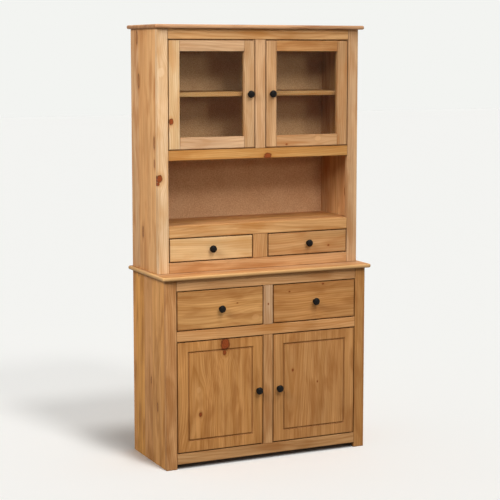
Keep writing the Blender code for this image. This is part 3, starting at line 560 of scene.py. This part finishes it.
def plain_box(low, high):
    """A box between two corners."""
    shape = bmesh.new()
    corners = bmesh.ops.create_cube(shape, size=1.0)["verts"]
    bmesh.ops.scale(shape, vec=Vector(high) - Vector(low), verts=corners)
    bmesh.ops.translate(shape, vec=(Vector(low) + Vector(high)) / 2, verts=corners)
    return shape


def eased_box(low, high, ease):
    """A box with rounded edges, marked 1 along its edges and fading to 0 a few millimetres in, where the pine
    is darkened for wax and as painted shade.
    """
    shape = plain_box(low, high)
    bmesh.ops.bevel(shape, geom=list(shape.edges), offset=ease, segments=EASE_STEPS, profile=0.5,
                    affect="EDGES")
    seam = shape.verts.layers.float.new("seam")
    for vert in shape.verts:
        vert[seam] = 1.0
    shape.normal_update()
    flats = [face for face in shape.faces if max(map(abs, face.normal)) > 0.999]
    band = min(SEAM_BAND, 0.3 * min(Vector(high) - Vector(low)))
    bmesh.ops.inset_individual(shape, faces=flats, thickness=band)
    for face in flats:
        for vert in face.verts:
            vert[seam] = 0.0
    return shape


def join_rings(shape, rings):
    """Join rings in order; they have the same count, or a single point for a tip."""
    for ring, following in zip(rings, rings[1:]):
        count = max(len(ring), len(following))
        for here in range(count):
            after = (here + 1) % count
            corners = [side[at % len(side)] for side, at in (
                (ring, here), (ring, after), (following, after), (following, here))]
            shape.faces.new(list(dict.fromkeys(corners)))


def add_loft(shape, loops):
    """Join rings of equal count in order, close both ends, and return the rings."""
    rings = [[shape.verts.new(point) for point in loop] for loop in loops]
    join_rings(shape, rings)
    shape.faces.new(rings[0])
    shape.faces.new(rings[-1])
    return rings


def add_turned(shape, profile, centre, outward=1):
    """Turn (radius, distance) pairs about a line along Y, outward or, with -1, towards the front."""
    rings = []
    for radius, distance in profile:
        at = Vector(centre) + Vector((0, outward * distance, 0))
        rings.append([shape.verts.new(at + Vector((radius * math.cos(turn), 0, radius * math.sin(turn))))
                      for turn in (turns(TURNING_STEPS, math.tau)[:-1] if radius else [0])])
    join_rings(shape, rings)
    return shape


# Finish and tone of each board. A board with a stave width in mm, or 0 for one plank, keeps its CAD mesh;
# the others are drawn again with eased edges.
BOARDS = {
    "hutch_stile_left": ("pale", 1.0),
    "hutch_stile_right": ("rosy", 0.95),
    "hutch_top_rail": ("golden", 1.0),
    "hutch_middle_rail": ("golden", 0.75),
    "hutch_niche_rail": ("golden", 0.86),
    "hutch_bottom_rail": ("honey", 0.99),
    "hutch_door_mullion": ("rosy", 1.02),
    "hutch_drawer_mullion": ("honey", 0.90),
    "hutch_drawer_left_front": ("cream", 0.95),
    "hutch_drawer_right_front": ("honey", 0.83),
    "hutch_side_left": ("honey", 1.02, 92),
    "hutch_side_right": ("honey", 0.95, 96),
    "hutch_niche_shelf": ("tan", 1.0, 70),
    "hutch_case_floor": ("tan", 0.98, 74),
    "hutch_display_shelf": ("tan", 1.0, 68),
    # The base's boards and doors mostly take darker finishes than the hutch's: partly painted shade, for the
    # light that falls off towards the floor
    "base_stile_left": ("brown", 1.0),
    "base_stile_right": ("brown", 0.88),
    "base_top_rail": ("honey", 1.06),
    "base_middle_rail": ("golden", 0.97),
    "base_bottom_rail": ("brown", 1.0),
    "base_drawer_mullion": ("rosy", 1.06),
    "base_door_mullion": ("brown", 1.0),
    "base_drawer_left_front": ("brown", 1.06),
    "base_drawer_right_front": ("brown", 0.96),
    "base_side_left": ("amber", 1.07, 88),
    "base_side_right": ("amber", 1.05, 94),
    "base_floor": ("bare", 1.0, 60),
    "base_shelf": ("bare", 1.0, 66),
    "base_runner_frame": ("bare", 0.95, 0),
    "hutch_runner_frame": ("bare", 0.95, 0),
}

# Knots seen in the photo: their places on the boards and their radii in mm; a negative radius is a pale swirl
KNOTS = {
    "hutch_stile_left": [(-0.4235, -0.0903, 1.1190, 14), (-0.4141, -0.0903, 1.5208, -16),
                         (-0.4290, -0.0903, 1.0990, 6.5)],
    "hutch_middle_rail": [(0.0315, -0.0903, 1.1935, 15)],
    "hutch_drawer_right_front": [(0.3029, -0.0903, 0.8254, 4)],
    "hutch_side_right": [(0.413, -0.0246, 1.0311, 7)],
    "hutch_side_left": [(-0.431, 0.1209, 1.6514, 12), (-0.431, 0.105, 1.4846, 13),
                        (-0.431, -0.0557, 1.2533, 11), (-0.431, 0.0702, 0.9004, 10),
                        (-0.431, -0.055, 1.174, 7)],
    "base_side_left": [(-0.431, -0.0711, 0.2309, 8), (-0.431, -0.0048, 0.3248, 6)],
    "base_drawer_left_front": [(-0.133, -0.1624, 0.6323, 2.5), (-0.0545, -0.1624, 0.5709, -14)],
    "base_door_left_board": [(-0.1846, -0.1624, 0.4748, 24), (-0.2967, -0.1624, 0.3049, -11),
                             (-0.2894, -0.1624, 0.2074, 8), (-0.1875, -0.1624, 0.4420, 9)],
    "base_door_right_board": [(0.1083, -0.1624, 0.3455, 5)],
}
LONG_KNOTS = ("hutch_side_left", "hutch_side_right", "base_side_left")
LONG_KNOT_LOOK = (0.35, "#A06834")


def make_boards():
    """Every straight board: rounded along its edges where it shows, or the CAD mesh with its own pine."""
    for number, (node, (finish, tone, *stave)) in enumerate(BOARDS.items()):
        low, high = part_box(node)
        pine = make_pine(node, low, high, finish, 1.37 * number + 0.61, tone,
                         stave[0] * MM if any(stave) else ONE_PLANK, KNOTS.get(node, ()),
                         FEW_STRAY if node in KNOTS else SOME_STRAY,
                         *(LONG_KNOT_LOOK if node in LONG_KNOTS else ()))
        if stave:
            NODES[node].data.materials[0] = pine
        else:
            ease = FRONT_EASE if node.endswith("_front") else BOARD_EASE
            make_piece(f"pine_{node}", eased_box(low, high, ease), pine, node)


def nosed_outline(low, high, inset, z):
    """A top board's outline at one height: square at the rear, rounded at the two front corners."""
    radius = PLAN_CORNER_R - inset
    points = [Vector((low.x + inset, high.y, z))]
    for turn in turns(PLAN_CORNER_STEPS):
        points.append(Vector((low.x + PLAN_CORNER_R - radius * math.cos(turn),
                              low.y + PLAN_CORNER_R - radius * math.sin(turn), z)))
    return points + [Vector((low.x + high.x - point.x, point.y, z)) for point in reversed(points)]


def make_top_board(node, finish, seed, tone, nosing_wear):
    """The base top or the cornice: glued staves with a full round nosing at the front and both ends."""
    low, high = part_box(node)
    loops = [nosed_outline(low, high, NOSE_R * (1 - math.sin(turn)), low.z + NOSE_R * (1 - math.cos(turn)))
             for turn in turns(NOSE_STEPS)]
    loops += [[Vector((point.x, point.y, low.z + high.z - point.z)) for point in loop]
              for loop in reversed(loops)]
    shape = bmesh.new()
    worn = shape.verts.layers.float.new("worn")
    # The nosing's rings get a painted highlight: paler pine where light would fall on the rounded edge
    for ring in add_loft(shape, loops)[1:-1]:
        for vert in ring:
            vert[worn] = nosing_wear
    make_piece(f"pine_{node}", shape, make_pine(node, low, high, finish, seed, tone, TOP_STAVE_W), node)


def rectangle(low, high, y, side, top, bottom):
    """Four corners of an upright rectangle drawn in from a board's edges."""
    x0, x1, z0, z1 = low.x + side, high.x - side, low.z + bottom, high.z - top
    return [Vector((x0, y, z0)), Vector((x1, y, z0)), Vector((x1, y, z1)), Vector((x0, y, z1))]


def door_box(node):
    """The box of a door without the hinge arms' recesses behind it."""
    low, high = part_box(node)
    high.y = low.y + FRONT_T
    return low, high


def cup_centres(low, high, side):
    """The centres of a door's two hinge cups, lower and upper, on its back face."""
    x = low.x + CUP_CENTRE_FROM_EDGE if side == "left" else high.x - CUP_CENTRE_FROM_EDGE
    return [Vector((x, high.y, z)) for z in (low.z + CUP_CENTRE_FROM_END, high.z - CUP_CENTRE_FROM_END)]


def cup_bores(centres):
    """The holes for the hinge cups in the back of a door."""
    shape = bmesh.new()
    depth = CUP_DEPTH + CUP_WALL_T
    for centre in centres:
        add_turned(shape, [(0, -depth), (CUP_R, -depth), (CUP_R, CUP_DEPTH), (0, CUP_DEPTH)], centre)
    return shape


def make_hinge_cups(door, centres, node):
    """Two pressed steel cups with their flanges, set into the back of a door."""
    inner, floor = CUP_R - CUP_WALL_T, CUP_WALL_T - CUP_DEPTH
    profile = [
        (0, -CUP_DEPTH), (CUP_R - CUP_FIT, -CUP_DEPTH), (CUP_R - CUP_FIT, 0), (CUP_FLANGE_R, 0),
        (CUP_FLANGE_R, CUP_FLANGE_T - CUP_EASE), (CUP_FLANGE_R - CUP_EASE, CUP_FLANGE_T),
        (inner + CUP_LIP_R, CUP_FLANGE_T), (inner, CUP_FLANGE_T - CUP_LIP_R), (inner, floor + CUP_FLOOR_R),
        (inner - CUP_FLOOR_R, floor), (0, floor),
    ]
    for level, centre in zip(("lower", "upper"), centres):
        cup = add_turned(bmesh.new(), profile, centre)
        make_piece(f"{door}_hinge_cup_{level}", cup, ZINC, node, replaced=False)


def make_base_door(side, seed, tone):
    """A base door: one glued pine board with a round-bottomed groove run round its front."""
    node = f"base_door_{side}_board"
    low, high = door_box(node)
    front, back, ease = low.y, high.y, FRONT_EASE
    loops, marks = [], []

    def ring(y, inset, margins=(0, 0, 0), seam=0.0, hollow=0.0):
        loops.append(rectangle(low, high, y, *(inset + margin for margin in margins)))
        marks.append((seam, hollow))

    ring(back, ease + SEAM_BAND)
    # Eased edges are marked for darkening: wax, and painted shade between boards
    for turn in turns(EASE_STEPS):
        ring(back - ease * (1 - math.cos(turn)), ease * (1 - math.sin(turn)), seam=1.0)
    for turn in turns(EASE_STEPS):
        ring(front + ease * (1 - math.sin(turn)), ease * (1 - math.cos(turn)), seam=1.0)
    ring(front, ease + SEAM_BAND)
    ring(front, -GROOVE_BAND, GROOVE_MARGINS)
    # The groove is marked darker towards its bottom: wax, and painted shade in the recess
    for turn in turns(GROOVE_STEPS, math.pi):
        depth = math.sin(turn)
        ring(front + GROOVE_DEPTH * depth, GROOVE_W * (1 - math.cos(turn)) / 2, GROOVE_MARGINS,
             hollow=0.35 + 0.65 * depth)
    ring(front, GROOVE_W + GROOVE_BAND, GROOVE_MARGINS)
    shape = bmesh.new()
    layers = [shape.verts.layers.float.new(word) for word in ("seam", "hollow")]
    for verts, values in zip(add_loft(shape, loops), marks):
        for vert in verts:
            vert[layers[0]], vert[layers[1]] = values
    pine = make_pine(node, low, high, "brown", seed, tone, knots=KNOTS[node], stray=FEW_STRAY)
    centres = cup_centres(low, high, side)
    make_piece(f"pine_{node}", shape, pine, node, cuts=[cup_bores(centres)])
    make_hinge_cups(f"base_door_{side}", centres, node)


def make_sash(side, looks, seed):
    """A glazed door: two full-height stiles, two rails between them, and beads that hold its pane."""
    node = f"hutch_door_{side}_frame"
    low, high = door_box(node)
    inner_low = Vector((low.x + SASH_STILE_W, low.y, low.z + SASH_BOTTOM_RAIL_H))
    inner_high = Vector((high.x - SASH_STILE_W, high.y, high.z - SASH_TOP_RAIL_H))
    rebate_low = inner_low - Vector((REBATE_W, 0, REBATE_W))
    rebate_high = inner_high + Vector((REBATE_W, 0, REBATE_W))
    members = {
        "stile_left": (low.x, inner_low.x, low.z, high.z),
        "stile_right": (inner_high.x, high.x, low.z, high.z),
        "rail_top": (inner_low.x, inner_high.x, inner_high.z, high.z),
        "rail_bottom": (inner_low.x, inner_high.x, low.z, inner_low.z),
    }
    centres = cup_centres(low, high, side)
    for number, (member, (left, right, bottom, top)) in enumerate(members.items()):
        start, end = Vector((left, low.y, bottom)), Vector((right, high.y, top))
        finish, tone, *knots = looks[member]
        name = f"hutch_door_{side}_{member}"
        pine = make_pine(name, start, end, finish, seed + 0.83 * number, tone, knots=knots, stray=0.0)
        cuts = [plain_box(rebate_low + Vector((0, REBATE_FROM_FRONT, 0)), rebate_high + Vector((0, 1, 0)))]
        if member == f"stile_{side}":
            cuts.append(cup_bores(centres))
        make_piece(name, eased_box(start, end, BOARD_EASE), pine, node, cuts)
    make_hinge_cups(f"hutch_door_{side}", centres, node)
    make_beads(side, node, rebate_low, rebate_high, seed)


def bead_section(front, back):
    """A bead's section as (distance from the rebate's wall, Y): flat on the pane, rounded at the back."""
    return [(BEAD_GAP, back), (BEAD_GAP, front), (REBATE_W, front)] + [
        (REBATE_W - BEAD_ROUND * (1 - math.cos(turn)), back - BEAD_ROUND * (1 - math.sin(turn)))
        for turn in turns(BEAD_STEPS)]


def make_beads(side, node, low, high, seed):
    """Four beads with mitred ends behind the pane."""
    pane_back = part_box(f"hutch_door_{side}_pane")[1].y
    section = bead_section(pane_back + BEAD_GAP, high.y - BEAD_GAP)
    runs = {
        "bottom": ((low.x, high.x), lambda end, s, y: (end, y, low.z + s)),
        "top": ((low.x, high.x), lambda end, s, y: (end, y, high.z - s)),
        "left": ((low.z, high.z), lambda end, s, y: (low.x + s, y, end)),
        "right": ((low.z, high.z), lambda end, s, y: (high.x - s, y, end)),
    }
    for number, (word, (ends, point)) in enumerate(runs.items()):
        loops = [[point(ends[0] + s, s, y) for s, y in section],
                 [point(ends[1] - s, s, y) for s, y in section]]
        shape = bmesh.new()
        add_loft(shape, loops)
        start, end = (Vector(map(pick, *loops[0], *loops[1])) for pick in (min, max))
        name = f"hutch_door_{side}_bead_{word}"
        make_piece(name, shape, make_pine(name, start, end, "tan", seed + 5 + number, 0.96, stray=0.0), node)


def make_drawer_box(unit, side, seed):
    """A drawer box of two sides, a back and a hardboard bottom that reaches into the front's groove."""
    node = f"{unit}_drawer_{side}_box"
    low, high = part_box(node)
    front_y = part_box(f"{unit}_drawer_{side}_front")[1].y + BOX_FIT
    inner_left, inner_right = low.x + WALL_T + BOX_FIT, high.x - WALL_T - BOX_FIT
    floor_z = low.z + BOTTOM_RISE
    parts = {
        "side_left": ((low.x, front_y, low.z), (low.x + WALL_T, high.y, high.z)),
        "side_right": ((high.x - WALL_T, front_y, low.z), (high.x, high.y, high.z)),
        "back": ((inner_left, high.y - WALL_T, floor_z + BOTTOM_T + BOX_FIT),
                 (inner_right, high.y - BOX_FIT, high.z - BACK_DROP)),
    }
    for number, (word, (start, end)) in enumerate(parts.items()):
        name = f"{unit}_drawer_{side}_{word}"
        pine = make_pine(name, Vector(start), Vector(end), "bare", seed + number, 1.0, stray=0.05)
        make_piece(name, eased_box(start, end, WALL_EASE), pine, node)
    bottom = plain_box((inner_left, low.y, floor_z), (inner_right, high.y - BOX_FIT, floor_z + BOTTOM_T))
    make_piece(f"{unit}_drawer_{side}_bottom", bottom, HARDBOARD, node)


def knob_profile():
    """Foot, hollow neck, rolled rim and domed head, as (radius, distance from the wood)."""
    head_middle = KNOB_LENGTH - KNOB_DOME_H
    neck_h = head_middle - KNOB_UNDERSIDE_H - KNOB_FOOT_H
    profile = [(0, 0), (KNOB_FOOT_R - KNOB_FOOT_EASE, 0), (KNOB_FOOT_R, KNOB_FOOT_EASE),
               (KNOB_FOOT_R, KNOB_FOOT_H)]
    for share in turns(KNOB_STEPS, 1.0)[1:]:
        radius = KNOB_FOOT_R + (KNOB_NECK_R - KNOB_FOOT_R) * math.sin(math.pi * share / 2)
        profile.append((radius, KNOB_FOOT_H + neck_h * share))
    for turn in turns(KNOB_STEPS)[1:]:
        profile.append((KNOB_NECK_R + (KNOB_R - KNOB_NECK_R) * math.sin(turn),
                        head_middle - KNOB_UNDERSIDE_H * math.cos(turn)))
    for turn in turns(DOME_STEPS)[1:-1]:
        profile.append((KNOB_R * math.cos(turn), head_middle + KNOB_DOME_H * math.sin(turn)))
    return profile + [(0, KNOB_LENGTH)]


def make_knobs():
    """The eight turned knobs."""
    for node in [node for node in NODES if node.endswith("_knob")]:
        low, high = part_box(node)
        foot = ((low.x + high.x) / 2, high.y, (low.z + high.z) / 2)
        make_piece(f"turned_{node}", add_turned(bmesh.new(), knob_profile(), foot, -1), BLACK_LACQUER, node)


def open_fasteners(name, *own):
    """Start a group of fasteners, which sets heads on a drawing."""
    return open_group(name, "GeometryNodeTree", {
        "Geometry": ["Drawing"], "Float": ["Head radius", "Head height", *own], "Material": ["Metal"],
    }, {"Geometry": ["Fasteners"]})


def close_fasteners(add, given, result, instances):
    """End a group of fasteners: real meshes in their metal."""
    real = add("GeometryNodeRealizeInstances", [instances])
    clad = add("GeometryNodeSetMaterial", {"Geometry": real, "Material": given["Metal"]})
    connect(result, [clad])


def make_pin_group():
    """Panel pins at even steps along a path, each a touch tilted, with round heads that face backwards."""
    tree, add, given, result = open_fasteners("panel pins", "Spacing")
    path = add("GeometryNodeMeshToCurve", [given["Drawing"]])
    steps = add("GeometryNodeResampleCurve", {"Curve": path, "Length": given["Spacing"]}, mode="LENGTH")
    head = add("GeometryNodeMeshCylinder", {"Vertices": 16, "Radius": given["Head radius"],
                                            "Depth": given["Head height"]})
    tilt = add("FunctionNodeRandomValue", {"Min": (1.55, -0.03, 0), "Max": (1.59, 0.03, 0), "Seed": 7},
               data_type="FLOAT_VECTOR")
    pins = add("GeometryNodeInstanceOnPoints", {"Points": steps, "Instance": head, "Rotation": tilt})
    close_fasteners(add, given, result, pins)
    return tree


def make_screw_group():
    """A cross-recessed pan head at each point, turned to the point's 'facing' direction."""
    tree, add, given, result = open_fasteners("pan-head screws")
    radius, height = given["Head radius"], given["Head height"]
    crown, slot_l, slot_w = (add("Math", [radius, share], "MULTIPLY") for share in SCREW_HEAD_SHARES)
    screw = add("GeometryNodeMeshCone", {"Vertices": 24, "Radius Top": crown, "Radius Bottom": radius,
                                         "Depth": height})
    bar = add("GeometryNodeMeshCube", {"Size": add("CombineXYZ", [slot_l, slot_w, height])})
    slot = add("GeometryNodeTransform", {"Geometry": bar, "Translation": add("CombineXYZ", {"Z": height})})
    crossing = add("GeometryNodeTransform", {"Geometry": slot, "Rotation": (0, 0, math.pi / 2)})
    for cutter in (slot, crossing):
        screw = add("GeometryNodeMeshBoolean", {"Mesh 1": screw, "Mesh 2": cutter}, "DIFFERENCE")
    facing = add("GeometryNodeInputNamedAttribute", {"Name": "facing"}, data_type="FLOAT_VECTOR")
    turn = add("FunctionNodeAlignRotationToVector", {"Vector": facing}, axis="Z")
    points = add("GeometryNodeMeshToPoints", {"Mesh": given["Drawing"]})
    screws = add("GeometryNodeInstanceOnPoints", {"Points": points, "Instance": screw, "Rotation": turn})
    close_fasteners(add, given, result, screws)
    return tree


def place_fasteners(name, shape, tree, values, node):
    """Give a drawn path or set of points its fasteners, as one plain mesh on the body of a CAD node."""
    piece = link_shape(name, shape)
    modifier = piece.modifiers.new("fasteners", "NODES")
    modifier.node_group = tree
    for item in tree.interface.items_tree:
        if item.name in values:
            modifier[item.identifier] = values[item.name]
    settle(piece, node, replaced=False)


def make_panel_pins():
    """Pins round the edge of both back panels, and across them into the boards behind."""
    shape = bmesh.new()
    crossings = {"base_back_panel": ["base_shelf"],
                 "hutch_back_panel": ["hutch_case_floor", "hutch_niche_shelf"]}
    for panel, boards in crossings.items():
        low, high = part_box(panel)
        corners = [shape.verts.new(point) for point in rectangle(low, high, high.y, *[PIN_EDGE_DISTANCE] * 3)]
        for corner, following in zip(corners, corners[1:] + corners[:1]):
            shape.edges.new((corner, following))
        for board in boards:
            z = sum(corner.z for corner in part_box(board)) / 2
            shape.edges.new([shape.verts.new((x, high.y, z))
                             for x in (low.x + PIN_SPACING / 2, high.x - PIN_SPACING / 2)])
    values = {"Spacing": PIN_SPACING, "Head radius": PIN_HEAD_R, "Head height": PIN_HEAD_H,
              "Metal": BLUED_STEEL}
    place_fasteners("back_panel_pins", shape, make_pin_group(), values, "base_back_panel")


def make_screws():
    """Screws that hold the hinge plates, and those that hold the knobs from inside."""
    tree = make_screw_group()
    values = {"Head radius": SCREW_HEAD_R, "Head height": SCREW_HEAD_H, "Metal": ZINC}
    for node in NODES:
        low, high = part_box(node)
        middle_z = (low.z + high.z) / 2
        if "_hinge_arm_" in node:
            x = low.x + PLATE_SCREW_FROM_SIDE if low.x < 0 else high.x - PLATE_SCREW_FROM_SIDE
            y = low.y + PLATE_T - SEAT_GAP
            spots = [(x, y, middle_z - PLATE_SCREW_RISE), (x, y, middle_z + PLATE_SCREW_RISE)]
        elif node.endswith("_knob"):
            front_y = next(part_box(node.replace("_knob", tail))[0].y for tail in ("_board", "_frame", "_front")
                           if node.replace("_knob", tail) in NODES)
            spots = [((low.x + high.x) / 2, front_y + FRONT_T, middle_z)]
        else:
            continue
        shape = bmesh.new()
        facing = shape.verts.layers.float_vector.new("facing")
        for spot in spots:
            shape.verts.new(spot)[facing] = (0, 1, 0)
        place_fasteners(f"{node}_screws", shape, tree, values, node)


make_boards()
# The base top's low tone is partly painted shade, taking back the strong light its top gets from above; its
# nosing is painted paler
make_top_board("base_top_board", "tan", 4.21, 0.83, 1.0)
make_top_board("hutch_cornice", "nosing", 8.77, 1.0, 0.0)
make_base_door("left", 2.9, 1.0)
make_base_door("right", 6.3, 0.92)
make_sash("left", {
    "stile_left": ("pale", 0.87, (-0.3745, -0.0903, 1.3343, 11.5)),
    "stile_right": ("rosy", 0.89),
    "rail_top": ("rosy", 1.07),
    "rail_bottom": ("rosy", 1.04),
}, 11.3)
make_sash("right", {
    "stile_left": ("rosy", 0.96),
    "stile_right": ("honey", 0.70),
    "rail_top": ("tan", 0.95),
    "rail_bottom": ("honey", 0.92, (0.1137, -0.0903, 1.2361, 4.0), (0.2528, -0.0903, 1.2562, -12.0)),
}, 17.9)
for unit, start in (("base", 21.0), ("hutch", 31.0)):
    for side, shift in (("left", 0.0), ("right", 4.4)):
        make_drawer_box(unit, side, start + shift)
make_knobs()
make_panel_pins()
make_screws()
for node, thing in NODES.items():
    for word, material in (("_back_panel_", HARDBOARD), ("_hinge_arm_", ZINC), ("_pane_", GLASS)):
        if word in f"{node}_":
            thing.data.materials[0] = material


# ---- stage, lamps and camera

BACKGROUND = "#F3F4F1"
FLOOR_SEEN = "#FEFEFB"
FLOOR_BOUNCE = "#8C8983"
FLOOR_REACH = 30
FLOOR_GAP = 0.2 * MM

# The light from all round, at the horizon and overhead, and each key's height with its share of floor light
AMBIENT_LOW = 0.03
AMBIENT_TOP = 0.51
KEY_LIGHT = ((42, 0.09), (60, 0.17), (78, 0.30))
KEY_AZIMUTH = 13
KEY_SOFTNESS = 10
KEY_DISTANCE = 5

# Place, target, energy in watts, side of the square lamp and spread in degrees of each fill
FILLS = {
    "side fill": ((-2.6, -1.1, 2.45), (-0.43, 0.05, 0.72), 34, 1.2, 120),
    "low front fill": ((0.35, -3.2, 1.85), (0, 0, 1.6), 1.5, 0.4, 60),
    "left front fill": ((-1.35, -3, 2.65), (0, 0, 1.5), 1.8, 0.5, 70),
    "high front fill": ((-0.35, -2.6, 2.7), (0, 0, 1.1), 4.6, 0.5, 80),
    "back fill": ((1.9, 2.4, 2.2), (0.1, 0.19, 0.9), 34, 1.2, 120),
}


def seen_share(add):
    """1 where the camera sees it, straight, in a mirror or through glass, and 0 for the light it gives."""
    path = add("LightPath").outputs
    seen = path["Is Camera Ray"]
    for ray in ("Is Glossy Ray", "Is Transmission Ray"):
        seen = add("Math", [seen, path[ray]], "MAXIMUM")
    return seen


def make_floor():
    """A floor that looks like the background, keeps the highboard's shadow, and throws back little light."""
    shape = bmesh.new()
    shape.faces.new([shape.verts.new((x * FLOOR_REACH, y * FLOOR_REACH, -FLOOR_GAP))
                     for x, y in ((-1, -1), (1, -1), (1, 1), (-1, 1))])
    floor = link_shape("floor", shape)
    material, add, shader = start_material("pale studio floor")
    colour = add("Mix", [seen_share(add), linear(FLOOR_BOUNCE), linear(FLOOR_SEEN)], data_type="RGBA")
    connect(shader, {"Base Color": colour, "Roughness": 0.9, "Specular IOR Level": 0.0})
    floor.data.materials.append(material)
    return floor


def make_world():
    """Soft light from all round, brightest overhead; the camera and mirrors see the plain background."""
    world = bpy.data.worlds.new("studio")
    bpy.context.scene.world = world
    world.use_nodes = True
    add = partial(add_node, world.node_tree)
    upward = add("SeparateXYZ", [add("TexCoord").outputs["Generated"]]).outputs["Z"]
    strength = add("MapRange", [upward, 0, 1, AMBIENT_LOW, AMBIENT_TOP])
    light = add("Background", [(1, 1, 1, 1), strength])
    plain = add("Background", [linear(BACKGROUND), 1.0])
    connect(world.node_tree.nodes["World Output"],
            {"Surface": add("MixShader", [seen_share(add), light, plain])})


def make_lamp(name, kind, place, target, **settings):
    """A lamp at a place, turned towards a target."""
    lamp = bpy.data.lights.new(name, kind)
    for key, value in settings.items():
        setattr(lamp, key, value)
    thing = bpy.data.objects.new(name, lamp)
    thing.location = place
    thing.rotation_euler = (Vector(target) - Vector(place)).to_track_quat("-Z", "Y").to_euler()
    bpy.context.scene.collection.objects.link(thing)
    return thing


def make_lamps(floor):
    """A tall soft key from the right of the front, and fills that leave the floor's shadow alone."""
    for height, share in KEY_LIGHT:
        turn, up = math.radians(KEY_AZIMUTH), math.radians(height)
        level = math.cos(up)
        place = KEY_DISTANCE * Vector((math.sin(turn) * level, -math.cos(turn) * level, math.sin(up)))
        make_lamp(f"key {height}", "SUN", place, (0, 0, 0), energy=share * math.pi / math.sin(up),
                  angle=math.radians(KEY_SOFTNESS))
    unlit = bpy.data.collections.new("left out of the fills")
    unlit.objects.link(floor)
    unlit.collection_objects[0].light_linking.link_state = "EXCLUDE"
    for name, (place, target, energy, size, spread) in FILLS.items():
        fill = make_lamp(name, "AREA", place, target, energy=energy, shape="SQUARE", size=size,
                         spread=math.radians(spread))
        fill.light_linking.receiver_collection = unlit
        fill.visible_glossy = False


# The camera as it was fitted to the photo: radians, and pixels of a square picture
CAMERA_PLACE = (-2.4405, -5.2030, 1.5937)
CAMERA_YAW = 0.4381
CAMERA_PITCH = -0.1215
PICTURE_W = 500
CAMERA_FOCAL = 1452.06
CENTRE_ROW = 230
SENSOR_W = 36


def make_camera():
    """The photo's view: from the left, at the height of the cornice, almost level."""
    camera = bpy.data.cameras.new("camera")
    camera.sensor_width = SENSOR_W
    camera.lens = SENSOR_W * CAMERA_FOCAL / PICTURE_W
    camera.shift_y = (CENTRE_ROW - PICTURE_W / 2) / PICTURE_W
    thing = bpy.data.objects.new("camera", camera)
    thing.location = CAMERA_PLACE
    thing.rotation_euler = (math.pi / 2 + CAMERA_PITCH, 0.0, -CAMERA_YAW)
    bpy.context.scene.collection.objects.link(thing)
    bpy.context.scene.camera = thing


make_lamps(make_floor())
make_world()
make_camera()
bpy.context.scene.view_settings.view_transform = "Standard"
